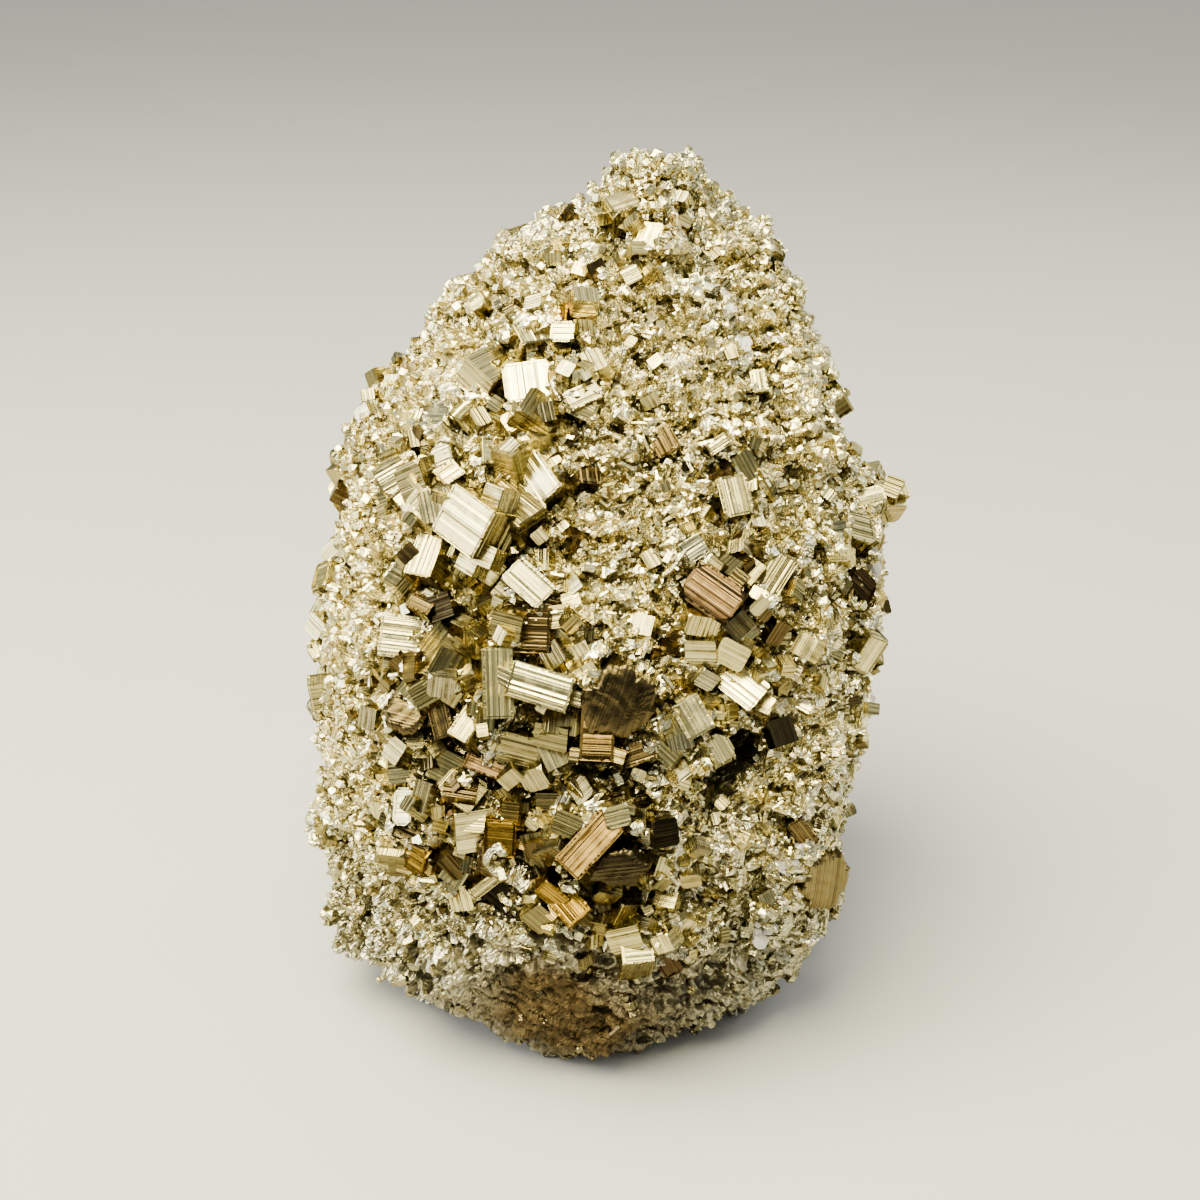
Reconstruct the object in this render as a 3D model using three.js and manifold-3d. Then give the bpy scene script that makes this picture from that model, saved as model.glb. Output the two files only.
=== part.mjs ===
// A free-standing mass of pyrite: fine crystals grown together into an egg-shaped
// boulder, with larger striated cubes standing out of it. It is one solid.
// Millimetres, +Z up. The resting face is the flat underside at Z = 0.
// -Y is the side that carries the largest cubes.

import * as THREE from 'three';
import { ConvexGeometry } from 'three/addons/geometries/ConvexGeometry.js';
import { mergeVertices } from 'three/addons/utils/BufferGeometryUtils.js';
import Module from 'manifold-3d';

const totalHeight = 164; // resting face to the summit of the ground mass
const sidesRound = 38; // flats around the ground mass
const levels = 22; // rows of flats between the resting face and the summit
const facetJitter = 0.32; // how far a corner of a flat strays, share of a flat's size
const facetRelief = 1.5; // how far a corner strays in or out, mm
const swellHeight = 1; // how strongly the surface rolls, 1 is as grown
const reachAround = 50; // mm of surface for one radian, for the lumps' widths
const summitReach = 1.15; // the same near the summit, share of the half width
const rollNarrow = 25; // half width below which the roll fades out, mm
const lumpNarrow = 16; // half width below which the lumps fade out, mm
const plainCorner = 0.12; // a corner cut smaller than this is left square

// Level sections of the ground mass: height, half width, half depth,
// middle in X, middle in Y, squareness (2 is an ellipse, less is more pointed).
const sections = [
  [0, 37, 35, -1, -6.5, 1.6],
  [5, 43, 42, -2.5, -5.5, 1.7],
  [14, 49, 47, -4, -5, 1.9],
  [28, 51.5, 51, -3, -4, 2.15],
  [48, 51.5, 53, -3, -3, 2.3],
  [66, 53.5, 52.5, -1.5, -1, 2.3],
  [86, 52, 48.5, 0.5, 3, 2.3],
  [98, 51, 46, 1, 5.5, 2.3],
  [108, 48.5, 43, -1, 8.5, 2.3],
  [117, 46, 39.5, 1, 10.5, 2.3],
  [126, 39.5, 35.5, 3.5, 13, 2.2],
  [134, 34.5, 30.5, 4.5, 15.5, 2.1],
  [143, 29, 25.5, 5.5, 18, 2.1],
  [149.5, 21.5, 20, 9, 19.5, 2],
  [153, 15, 14.5, 10.5, 21, 2],
  [156, 11, 11.5, 10.5, 21.5, 2],
  [162, 7, 8, 11, 22, 2],
];

// Lumps and hollows: angle (0 is +X, 270 is -Y), height, how far out, reach.
const lumps = [
  [13, 99, 8, 5], // outcrop on the right rim, with a step above it
  [17, 90, 6, 6],
  [12, 79, 7.5, 6],
  [12, 68, 5.5, 6],
  [4, 110, -3, 6],
  [196, 129, 2.5, 6], // ledges down the left side, and its foot
  [188, 109, 4, 6],
  [187, 98, -1.5, 6],
  [188, 82, 3.5, 8],
  [190, 67, 2, 8],
  [188, 55, -2, 6],
  [196, 43, 3.5, 7],
  [202, 16, 3.5, 7],
  [210, 6, -2, 8],
  [236, 3, -4, 9],
  [256, 85, 5, 10], // crest of the belly, the recess under it and the crest below
  [240, 86, 2.5, 8],
  [274, 82, 3, 7],
  [262, 69, -5.5, 6],
  [244, 68, -3.5, 6],
  [278, 68, -2.5, 6],
  [271, 57, 4, 8],
  [243, 55, 2.5, 7],
  [256, 44, -1.5, 7],
  [243, 113, 4, 9], // ledge of the largest cubes and the hollow under it
  [249, 101, -4, 6],
  [259, 100, 1.5, 6],
  [226, 118, 1.5, 6],
  [270, 118, -1.5, 8],
  [291, 100, 2.5, 9], // right of the front: around the deep pocket
  [296, 68, -5, 7],
  [306, 84, 2.5, 7],
  [316, 62, 3, 8],
  [320, 44, 4, 9],
  [326, 27, 3, 8],
  [298, 50, -2, 6],
  [287, 30, -2.5, 11],
  [282, 38, 2, 6],
  [230, 40, 2.5, 10],
  [275, 14, 2, 9],
  [212, 62, -1.5, 8],
  [262, 131, 2, 7], // upper slopes
  [246, 142, -2, 6],
  [290, 140, 2, 6],
  [330, 136, 2.5, 6],
  [222, 137, 2, 6],
  [338, 118, 1.5, 9],
  [315, 112, -1.5, 8],
  [214, 105, -2, 7],
  [200, 149, 3, 5], // shoulders and notches of the summit
  [335, 150, 3.5, 5],
  [232, 153, -4, 4],
  [305, 151, -3.5, 4],
  [262, 157, 3, 4],
  [190, 158, 1.5, 4],
  [90, 60, 5, 14], // back
  [120, 100, 4, 11],
  [60, 30, 3.5, 12],
  [150, 35, -3.5, 10],
  [48, 120, 3.5, 9],
  [74, 92, -4.5, 8],
  [135, 72, -3.5, 8],
  [162, 84, 3.5, 8],
  [100, 22, -3, 9],
  [30, 45, -2.5, 9],
  [105, 135, 3, 7],
  [72, 108, 3, 7],
  [150, 118, 2.5, 7],
  [112, 44, 2.5, 7],
  [80, 78, 2, 6],
  [40, 62, 2.5, 7],
  [170, 28, 2.5, 8],
  [128, 56, 2, 6],
  [55, 96, 2, 7],
  [96, 150, 3, 5],
  [150, 146, 2.5, 5],
  [40, 142, 2.5, 6],
  [84, 8, 2, 8],
  [28, 12, -2, 8],
];

// Open pockets: angle, height, length, width, depth, turn of the length in degrees.
const pockets = [
  [296, 68, 17, 8, 18, 60], // the deep pocket
  [250, 100, 9, 5, 10, 20], // under the largest cube
  [264, 52, 5, 4, 8, -30],
  [291, 45, 5, 4, 7, 0],
  [266, 38, 8, 3, 8, -10],
  [249, 151, 4, 3.5, 7, 60],
  [292, 148, 5, 4, 8, 80],
  [96, 84, 11, 5, 11, 35],
  [150, 52, 8, 5, 10, -40],
  [40, 74, 8, 4.5, 9, 15],
  [70, 128, 6, 4, 8, -20],
  [128, 26, 7, 4, 8, 60],
];

// Larger cubes: angle, height, how far the face stands out, length along the
// striations, width across them, depth, turn away from straight outwards,
// slope of the face upwards, turn of the striations, corner cut (share of width).
const cubes = [
  [247, 111, 5.5, 11, 9.5, 13, -15, 25, -15, 0.05], // largest cube, pale
  [254, 113, 3.5, 11, 7.5, 11, 20, 65, -50, 0.1], // its khaki neighbour
  [247, 130, 3.5, 7.5, 9, 9, 20, 40, -80, 0.14], // bright cube above
  [221, 123, 2, 6, 6.5, 6, 5, 50, 15, 0.1], // grey stepped cube
  [229, 125, 2.5, 5.5, 4.5, 6, -15, 55, 90, 0.05], // cube showing two faces
  [224, 114, 2.5, 6.5, 6.5, 6, 45, 25, 30, 0.3], // eight-sided flat face
  [237, 104, 3, 8.5, 5.5, 8, 0, 45, -85, 0.05], // cream slab under the largest
  [258, 117, 3, 9, 5.5, 8, -25, 25, -35, 0.1], // bright leaning slab
  [245, 120, 2, 4, 5.5, 6, 50, 45, -15, 0.05], // small banded cube
  [234, 119, 1.5, 4, 5, 6, 15, 35, 30, 0.35], // worn grey cube
  [239, 117, 2, 4.5, 4, 7, 30, 55, 40, 0.05], // twin beside the largest
  [259, 101, 3, 8.5, 5.5, 8, 15, 40, -45, 0.1], // bright leaning group
  [232, 89, 3, 9, 8, 9, 45, 35, -10, 0.08], // bright left cube
  [235, 96, 1.5, 5.5, 3.5, 6, 5, 55, -10, 0.1], // brown wedge
  [259, 94, 2.5, 6.5, 8, 8, -5, 25, 5, 0.05], // orange banded cube
  [254, 86, 3, 12.5, 5.5, 9, 30, 30, 85, 0.08], // long cream pillar
  [261, 86, 4.5, 11.5, 6.5, 9, -5, 30, -10, 0.05], // brightest slab
  [272, 84, 2.5, 10.5, 10, 9, -5, 35, 85, 0.3], // dark broken face
  [270, 80, 3.5, 6, 10, 9, -5, 35, 0, 0.04], // red-gold banded cube
  [236, 78, 2.5, 6.5, 5, 8, 25, 40, -10, 0.1], // dark cube
  [242, 78, 2.5, 7, 4, 7, 10, 30, -65, 0.08], // dark upright cube
  [250, 80, 3, 7, 4.5, 8, -5, 50, 75, 0.05], // brown leaning cube
  [252, 71, 3, 7.5, 4, 8, 15, 40, -20, 0.05], // pink-bronze slab
  [258, 75, 2, 8.5, 6.5, 8, 10, 0, -15, 0.2], // khaki cube
  [275, 76, 2.5, 7, 4, 6, -20, 35, 25, 0.05], // dark one of a pair
  [281, 74, 2.5, 6.5, 4.5, 6, 10, 20, -50, 0.05], // cream one of a pair
  [236, 60, 3, 4, 7, 7, 0, 30, 15, 0.25], // bright capped cube
  [238, 56, 2, 7.5, 3.5, 7, 25, 35, -20, 0.12], // grey-brown slab
  [239, 52, 1.5, 5, 5.5, 6, 0, 10, -15, 0.25], // golden wedge
  [256, 58, 2.5, 6, 6.5, 8, -5, 25, 5, 0.05], // golden banded cube
  [270, 60, 4.5, 12, 6, 12, -20, 45, 60, 0.05], // long bronze block
  [273, 57, 3, 8.5, 6, 10, -10, 15, 10, 0.3], // its broken end
  [268, 49, 2.5, 6.5, 5.5, 8, -5, 40, -45, 0.05], // golden slanting cube
  [266, 50, 1.5, 6, 3.5, 7, 0, 5, -40, 0.1], // golden chip below it
  [279, 38, 3.5, 6, 4.5, 9, 0, 55, 0, 0.08], // cream-topped block
  [319, 43, 2.5, 9, 12, 8, -20, 0, -5, 0.3], // smooth khaki face
  [284, 80, 2.5, 7, 5.5, 8, -25, 30, -55, 0.1], // steep bright slab
  [290, 74, 3, 5.5, 4.5, 8, -5, 40, -70, 0.35], // rounded bright cube
  [288, 100, 4, 10.5, 7.5, 10, -30, 35, -30, 0.28], // rosy six-sided face
  [295, 114, 2.5, 7.5, 5.5, 8, -20, 35, -80, 0.18], // cream upright cube
  [302, 100, 2.5, 9, 5, 8, -20, 40, 50, 0.1], // steep khaki slab
  [294, 84, 3, 9.5, 6, 8, -40, 40, -30, 0.05], // striped slab
  [287, 106, 2, 4.5, 4, 6, -10, 35, 30, 0.08], // small grey cube
  [355, 101, 2.5, 7, 4, 8, -85, 45, 15, 0.2], // rim cube, top
  [341, 100, 2, 6, 7, 8, -25, 50, -35, 0.2], // rim cube, khaki
  [338, 91, 2.5, 7.5, 5.5, 8, -25, 20, -50, 0.2], // rim cube, brown
  [340, 77, 3, 8, 5, 8, -50, -5, 60, 0.15], // rim blade
  [246, 157, 3, 6, 5.5, 8, 25, 60, 25, 0.2], // summit cube
  [266, 152, 2.5, 5.5, 4.5, 7, -25, 45, -90, 0.08], // cube below the summit
  [242, 138, 2, 5.5, 7, 7, 55, 60, 90, 0.1], // upper banded cube
  [232, 138, 2, 6, 3.5, 6, -5, 55, 30, 0.1], // upper thin cube
  [208, 140, 1.5, 3.5, 3.5, 6, 30, 35, 45, 0.25], // upper smooth cube
  [251, 138, 2, 4.5, 4, 7, 0, 35, 5, 0.15], // upper curved cube
  [261, 130, 2, 6.5, 4, 7, 15, 50, 25, 0.12], // upper striped cube
  [262, 128, 2, 5.5, 4, 7, 10, 25, -25, 0.2], // upper fan cube
  [310, 135, 1.5, 3, 2, 5, -25, 25, 10, 0.1], // amber chip
  [307, 130, 2, 4.5, 3, 6, -40, 35, -80, 0.12], // tall cream chip
  [280, 122, 2, 5.5, 4.5, 7, -15, 35, -60, 0.08], // orange leaning cube
  [292, 122, 2, 4.5, 2.5, 7, -15, 35, 30, 0.15], // cream chip
  [267, 118, 1.5, 4, 4.5, 6, 40, 45, 70, 0.2], // brown chip
  [254, 54, 2, 3.5, 7, 7, -10, 0, -5, 0.3], // low khaki cube
  [252, 48, 2, 6.5, 2.5, 6, 35, 15, 30, 0.2], // pale shard
  [248, 62, 1.5, 5.5, 3, 5, 15, 45, 45, 0.1], // rosy chip
  [286, 30, 2, 5.5, 4, 6, -10, 5, -60, 0.2], // bronze plank
  [283, 62, 1.5, 4.5, 3.5, 7, 5, 25, 25, 0.3], // khaki chip
  [314, 53, 1.5, 6.5, 3.5, 7, -45, 0, -55, 0.2], // brown edge cube
  [88, 104, 4, 10, 9, 10, 15, 30, 25, 0.06], // back, largest
  [97, 96, 3, 8, 6, 8, -25, 20, -50, 0.1],
  [78, 112, 2.5, 6, 7, 7, 20, 40, 70, 0.25],
  [110, 62, 4, 9.5, 8, 10, 10, 25, -35, 0.28],
  [101, 55, 3, 7, 10, 8, -20, 35, 10, 0.05],
  [84, 70, 3, 9, 5.5, 8, 25, 15, 60, 0.05],
  [122, 78, 3, 6.5, 6.5, 7, -15, 45, 0, 0.12],
  [68, 44, 3.5, 8, 8.5, 9, 20, 10, 40, 0.05],
  [92, 36, 2.5, 7, 5, 7, -10, -10, -20, 0.2],
  [60, 90, 3, 7.5, 7, 8, -20, 30, 80, 0.08],
  [140, 110, 3, 7, 8, 8, 15, 40, -60, 0.05],
  [155, 92, 3.5, 9, 7.5, 9, -10, 30, 15, 0.1],
  [168, 72, 3, 6.5, 7, 8, 20, 20, 50, 0.3],
  [145, 60, 2.5, 6, 5, 7, -20, 0, -40, 0.08],
  [160, 40, 3, 8, 6, 8, 10, 15, 5, 0.05],
  [176, 56, 2.5, 6, 7.5, 7, 15, 35, -75, 0.12],
  [190, 88, 2.5, 6, 5.5, 7, 10, 30, 35, 0.08],
  [200, 44, 2.5, 7, 6, 7, -10, 20, -15, 0.2],
  [45, 58, 3, 7, 6.5, 8, 15, 25, -30, 0.06],
  [28, 32, 3, 6.5, 8, 8, -15, 10, 65, 0.1],
  [8, 46, 2.5, 6, 6, 7, 10, 20, -5, 0.25],
  [352, 74, 2.5, 7.5, 5.5, 7, -15, 30, 45, 0.05],
  [20, 108, 2.5, 6, 7, 7, 10, 40, -45, 0.1],
  [112, 128, 2.5, 6, 5.5, 7, -15, 45, 30, 0.12],
  [62, 136, 2, 5, 5.5, 6, 10, 50, -70, 0.08],
  [160, 128, 2, 5.5, 5, 6, 15, 45, 10, 0.2],
  [125, 148, 2, 4.5, 5, 6, -10, 50, 60, 0.1],
  [30, 148, 2, 4.5, 4, 6, 10, 40, -25, 0.1],
  [345, 148, 2, 4.5, 5, 6, -10, 45, 40, 0.2],
  [118, 14, 2.5, 7, 6, 7, 10, 0, -30, 0.08],
];

// Smaller cubes are spread over the whole mass by the loop at the end.
const smallCubes = 46;
const goldenAngle = 137.508; // degrees, spreads the small cubes evenly around

const radians = Math.PI / 180;
const wasm = await Module();
wasm.setup();

// A smooth value between the level sections (cubic, with shared slopes).
function sectionValue(height, column) {
  const last = sections.length - 1;
  let i = 0;
  while (i < last - 1 && height > sections[i + 1][0]) {
    i += 1;
  }
  const slope = (k) => {
    const rise = sections[k + 1][column] - sections[k][column];
    return rise / (sections[k + 1][0] - sections[k][0]);
  };
  const here = slope(i);
  const before = i > 0 ? (slope(i - 1) + here) / 2 : here;
  const after = i < last - 1 ? (here + slope(i + 1)) / 2 : here;
  const gap = sections[i + 1][0] - sections[i][0];
  const t = (height - sections[i][0]) / gap;
  const start = sections[i][column] * (2 * t ** 3 - 3 * t ** 2 + 1);
  const end = sections[i + 1][column] * (3 * t ** 2 - 2 * t ** 3);
  return start + end + gap * (before * (t ** 3 - 2 * t ** 2 + t) + after * (t ** 3 - t ** 2));
}

// The uneven roll of the surface: three products of sines, each finer than the last.
function swell(x, y, z) {
  const broad = 1.3 * Math.sin(0.23 * x + 0.11 * z + 1.3) * Math.sin(0.19 * y - 0.21 * z + 0.4);
  const middle = Math.sin(0.41 * x - 0.33 * z + 2.1) * Math.sin(0.37 * y + 0.29 * z + 0.7);
  const fine = 0.7 * Math.sin(0.71 * x + 0.13 * y + 0.55 * z) * Math.sin(0.63 * z - 0.47 * y + 1.9);
  return swellHeight * (broad + middle + fine);
}

// A point on the ground mass. Each level is a rounded outline with the lumps
// and the roll added straight outwards, so the underside stays flat.
function surfacePoint(degrees, height) {
  const angle = degrees * radians;
  const outX = Math.cos(angle);
  const outY = Math.sin(angle);
  const halfWidth = sectionValue(height, 1);
  const halfDepth = sectionValue(height, 2);
  const power = 2 / sectionValue(height, 5);
  const x = sectionValue(height, 3) + halfWidth * Math.sign(outX) * Math.abs(outX) ** power;
  const y = sectionValue(height, 4) + halfDepth * Math.sign(outY) * Math.abs(outY) ** power;
  // the summit is too narrow for the full roll and the full lumps
  let out = swell(x, y, height) * Math.min(1, halfWidth / rollNarrow);
  const perRadian = Math.min(reachAround, summitReach * halfWidth);
  for (const [lumpAngle, lumpHeight, rise, reach] of lumps) {
    const turn = (degrees - lumpAngle) * radians;
    const across = perRadian * Math.atan2(Math.sin(turn), Math.cos(turn));
    const up = height - lumpHeight;
    out += rise * Math.exp(-(across ** 2 + up ** 2) / reach ** 2);
  }
  out *= Math.min(1, halfWidth / lumpNarrow);
  return new THREE.Vector3(x + out * outX, y + out * outY, height);
}

// The direction straight off the surface, from two short steps along it.
function surfaceNormal(degrees, height) {
  const top = sections[sections.length - 1][0];
  const around = surfacePoint(degrees + 4, height).sub(surfacePoint(degrees - 4, height));
  const above = surfacePoint(degrees, Math.min(height + 4, top));
  const upward = above.sub(surfacePoint(degrees, Math.max(height - 4, 0)));
  return around.cross(upward).normalize();
}

// Axes for a face: along the striations, across them, and out of the face.
function faceAxes(facing, slope, striations) {
  const azimuth = facing * radians;
  const lift = slope * radians;
  const roll = striations * radians;
  const level = new THREE.Vector3(Math.cos(azimuth), Math.sin(azimuth), 0);
  const out = new THREE.Vector3(
    Math.sin(azimuth) * Math.cos(lift),
    -Math.cos(azimuth) * Math.cos(lift),
    Math.sin(lift),
  );
  const rising = out.clone().cross(level);
  const along = level.multiplyScalar(Math.cos(roll)).addScaledVector(rising, Math.sin(roll));
  return [along, out.clone().cross(along), out];
}

// Puts a block's geometry in place, its outer face centred on a point.
function placeFace(geometry, point, axes, depth) {
  const centre = point.clone().addScaledVector(axes[2], -depth / 2);
  const matrix = new THREE.Matrix4().makeBasis(...axes).setPosition(centre);
  return geometry.applyMatrix4(matrix);
}

// A cube-like crystal, with its eight corners cut when the cut is large enough.
function crystalGeometry(length, width, depth, cornerCut) {
  if (cornerCut < plainCorner) {
    return new THREE.BoxGeometry(length, width, depth);
  }
  const cut = cornerCut * Math.min(length, width);
  const points = [];
  for (const sx of [-1, 1]) {
    for (const sy of [-1, 1]) {
      for (const sz of [-1, 1]) {
        points.push(new THREE.Vector3(sx * (length / 2 - cut), sy * width / 2, sz * depth / 2));
        points.push(new THREE.Vector3(sx * length / 2, sy * (width / 2 - cut), sz * depth / 2));
        points.push(new THREE.Vector3(sx * length / 2, sy * width / 2, sz * (depth / 2 - cut)));
      }
    }
  }
  return new ConvexGeometry(points);
}

// A repeatable stray value from -1 to 1 for each whole number.
function stray(number) {
  const value = Math.sin(number * 12.9898) * 43758.5453;
  return 2 * (value - Math.floor(value)) - 1;
}

// Rings of corners from the resting face up, closed by one point at each end.
// Every corner strays a little, so the flats are as uneven as broken crystal.
function groundGeometry() {
  const top = sections[sections.length - 1][0];
  const positions = [];
  const faces = [];
  for (let row = 0; row <= levels; row += 1) {
    const inside = row > 0 && row < levels ? facetJitter : 0; // end rows stay level
    for (let side = 0; side < sidesRound; side += 1) {
      const number = row * sidesRound + side;
      const share = (row + inside * stray(number)) / levels;
      const height = top * (share + 0.1 * share * (1 - share)); // closer rows near the summit
      const degrees = (side + facetJitter * stray(number + 0.3)) * 360 / sidesRound;
      const narrowing = Math.min(1, sectionValue(height, 1) / 40); // less at the summit
      const relief = facetRelief * narrowing * stray(number + 0.6);
      const corner = surfacePoint(degrees, height);
      corner.x += relief * Math.cos(degrees * radians);
      corner.y += relief * Math.sin(degrees * radians);
      positions.push(...corner.toArray());
    }
  }
  for (let row = 0; row < levels; row += 1) {
    for (let side = 0; side < sidesRound; side += 1) {
      const next = (side + 1) % sidesRound;
      const a = row * sidesRound + side;
      const b = row * sidesRound + next;
      const c = a + sidesRound;
      const d = b + sidesRound;
      faces.push(a, b, d, a, d, c);
    }
  }
  const bottomMiddle = positions.length / 3;
  const topMiddle = bottomMiddle + 1;
  positions.push(sections[0][3], sections[0][4], 0);
  positions.push(sections.at(-1)[3], sections.at(-1)[4], totalHeight);
  for (let side = 0; side < sidesRound; side += 1) {
    const next = (side + 1) % sidesRound;
    faces.push(bottomMiddle, next, side);
    faces.push(topMiddle, levels * sidesRound + side, levels * sidesRound + next);
  }
  const geometry = new THREE.BufferGeometry();
  geometry.setAttribute('position', new THREE.Float32BufferAttribute(positions, 3));
  geometry.setIndex(faces);
  return geometry;
}

function toSolid(geometry) {
  const bare = geometry.clone();
  bare.deleteAttribute('normal');
  bare.deleteAttribute('uv');
  const welded = mergeVertices(bare, 1e-4);
  const vertProperties = Float32Array.from(welded.attributes.position.array);
  const triVerts = Uint32Array.from(welded.index.array);
  return new wasm.Manifold(new wasm.Mesh({ numProp: 3, vertProperties, triVerts }));
}

function toGeometry(solid) {
  const mesh = solid.getMesh();
  const geometry = new THREE.BufferGeometry();
  geometry.setAttribute('position', new THREE.BufferAttribute(mesh.vertProperties, 3));
  geometry.setIndex(new THREE.BufferAttribute(mesh.triVerts, 1));
  geometry.computeVertexNormals();
  return geometry;
}

function cubeSolid([degrees, height, standOut, length, width, depth, turn, slope, roll, cut]) {
  const normal = surfaceNormal(degrees, height);
  const point = surfacePoint(degrees, height).addScaledVector(normal, standOut);
  const axes = faceAxes(degrees + 90 + turn, slope, roll);
  return toSolid(placeFace(crystalGeometry(length, width, depth, cut), point, axes, depth));
}

// A small cube of the even spread: its size and pose vary by sines of its number.
function smallCube(number) {
  const degrees = (number * goldenAngle) % 360;
  const height = 6 + 148 * (number + 0.5) / smallCubes;
  const length = 6.2 + 1.8 * Math.sin(number * 2.3);
  const width = 5.6 + 1.5 * Math.sin(number * 3.7 + 1);
  const turn = 28 * Math.sin(number * 1.9);
  const slope = 0.35 * height - 12 + 22 * Math.sin(number * 2.9 + 2);
  const roll = 90 * Math.sin(number * 4.1);
  return [degrees, height, 2, length, width, 7, turn, slope, roll, 0];
}

let solid = toSolid(groundGeometry());
for (const cube of cubes) {
  solid = solid.add(cubeSolid(cube));
}
for (let number = 0; number < smallCubes; number += 1) {
  solid = solid.add(cubeSolid(smallCube(number)));
}
for (const [degrees, height, length, width, depth, turn] of pockets) {
  const normal = surfaceNormal(degrees, height);
  const point = surfacePoint(degrees, height).addScaledVector(normal, depth / 4);
  const slope = Math.asin(normal.z) / radians;
  const axes = faceAxes(degrees + 90, slope, turn);
  solid = solid.subtract(toSolid(placeFace(crystalGeometry(length, width, depth, 0.2), point, axes, depth)));
}
const aboveTable = new THREE.BoxGeometry(400, 400, 400).translate(0, 0, 200);
solid = solid.intersect(toSolid(aboveTable)); // nothing reaches below the resting face

const pyrite = new THREE.MeshStandardMaterial({ color: 0xb5a67c, roughness: 0.38, metalness: 1 });
const cluster = new THREE.Mesh(toGeometry(solid), pyrite);
cluster.name = 'pyrite_cluster';

const specimen = new THREE.Group();
specimen.add(cluster);
export default specimen;
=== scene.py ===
import math
import bpy
import numpy as np
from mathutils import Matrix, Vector


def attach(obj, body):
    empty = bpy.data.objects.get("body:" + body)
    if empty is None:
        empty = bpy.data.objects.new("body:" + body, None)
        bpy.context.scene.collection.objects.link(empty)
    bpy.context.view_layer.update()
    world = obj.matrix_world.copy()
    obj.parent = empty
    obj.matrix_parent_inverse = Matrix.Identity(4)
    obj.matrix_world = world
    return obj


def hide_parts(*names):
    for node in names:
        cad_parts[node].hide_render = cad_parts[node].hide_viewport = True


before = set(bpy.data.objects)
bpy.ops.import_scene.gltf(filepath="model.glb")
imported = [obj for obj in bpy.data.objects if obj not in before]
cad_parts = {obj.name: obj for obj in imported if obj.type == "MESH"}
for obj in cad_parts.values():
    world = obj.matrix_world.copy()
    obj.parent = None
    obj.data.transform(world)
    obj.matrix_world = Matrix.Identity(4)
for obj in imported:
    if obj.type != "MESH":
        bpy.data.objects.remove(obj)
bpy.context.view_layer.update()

mm = 0.001
print("pyrite cluster: frame loaded")


def hexToLinear(hexColour):
    # sRGB hex to the linear values the shader wants
    value = np.array([int(hexColour[i:i + 2], 16) / 255 for i in (1, 3, 5)])
    low = value / 12.92
    high = ((value + 0.055) / 1.055) ** 2.4
    return np.where(value <= 0.04045, low, high)


# tarnish colours of the crystals, clean brass first
tarnish = {
    "pale": "#f3e8a6",
    "cream": "#e8db94",
    "khaki": "#9a905f",
    "grey": "#bfba92",
    "brown": "#6c5d39",
    "umber": "#433b27",
    "bronze": "#665734",
    "rosyGold": "#5a4a28",
    "rosy": "#53432b",
    "gold": "#a3832f",
    "sugar": "#eee5af",  # fine crystals
    "sugarDeep": "#dcd2a1",
    "skin": "#eee8c1",  # the mass between them, paler because its hollows light each other
    "oldBreak": "#7c6f48",
    "darkBreak": "#5a4e31",
    "freshBreak": "#705c36",
}
tarnishLinear = {name: hexToLinear(value) for name, value in tarnish.items()}

groundMass = {
    "top": 164.0,  # mm, summit of the mass
    "around": 840,  # grid columns, about 0.4 mm apart
    "rows": 476,  # grid rows from the resting face to the summit
    "capRows": 20,  # rows that close the summit
    "underRows": 10,  # rows that close the resting face
    "bands": 5,  # level bands that the skin is made in
    "knob": 12.0,  # mm, size of the rounded knobs
    "knobHeight": 6.4,  # mm
    "block": 6.0,  # mm, size of the larger grown-together cubes
    "blockShare": 0.55,  # how much of their relief shows
    "blockBare": 0.45,  # and how much of that outside the crystal fields
    "chip": 3.0,  # mm, size of the smaller ones
    "chipShare": 0.6,
    "speck": 1.6,  # mm, size of the smallest
    "speckShare": 0.55,
    "seeds": (5, 3, 8, 21),  # of the knobs, blocks, chips and specks
    "sink": 0.3,  # mm, room left for the grains
    "knobbier": 0.6,  # how much more the knobs stand out in their fields
    "rise": (-4.8, 3.0),  # mm, deepest crease and highest crystal
    "brokenCalm": 0.55,  # how much flatter it is where it is broken
}
# painted shade of each place on the mass: darker in hollows and pockets, towards the resting face
# and at the summit
paintedMassShade = {
    "level": 0.92,
    "broad": 0.16,  # brighter by this for each mm above the mean of a wide patch round it
    "broadReach": 12,  # grid steps
    "near": 0.34,  # and by this above the mean of a small one
    "nearReach": 3,
    "range": (0.72, 1.1),
    "pocketBlack": 9.0,  # mm into a pocket
    "pocketLeast": 0.24,
    "foot": 0.42,  # at the resting face
    "footTop": 65.0,  # mm up, where that has faded out
    "summitLoss": 0.16,
    "summitFrom": 128.0,  # mm up
    "summitOver": 28.0,  # mm
}

# level sections: height, half width, half depth, middle X, middle Y, squareness
sections = np.array([
    (0, 37, 35, -1, -6.5, 1.6),
    (5, 43, 42, -2.5, -5.5, 1.7),
    (14, 49, 47, -4, -5, 1.9),
    (28, 51.5, 51, -3, -4, 2.15),
    (48, 51.5, 53, -3, -3, 2.3),
    (66, 53.5, 52.5, -1.5, -1, 2.3),
    (86, 52, 48.5, 0.5, 3, 2.3),
    (98, 51, 46, 1, 5.5, 2.3),
    (108, 48.5, 43, -1, 8.5, 2.3),
    (117, 46, 39.5, 1, 10.5, 2.3),
    (126, 39.5, 35.5, 3.5, 13, 2.2),
    (134, 34.5, 30.5, 4.5, 15.5, 2.1),
    (143, 29, 25.5, 5.5, 18, 2.1),
    (149.5, 21.5, 20, 9, 19.5, 2),
    (153, 15, 14.5, 10.5, 21, 2),
    (156, 11, 11.5, 10.5, 21.5, 2),
    (162, 7, 8, 11, 22, 2),
])
lastLevel = sections[-1, 0]  # mm, where the sections end and the summit is closed

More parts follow.
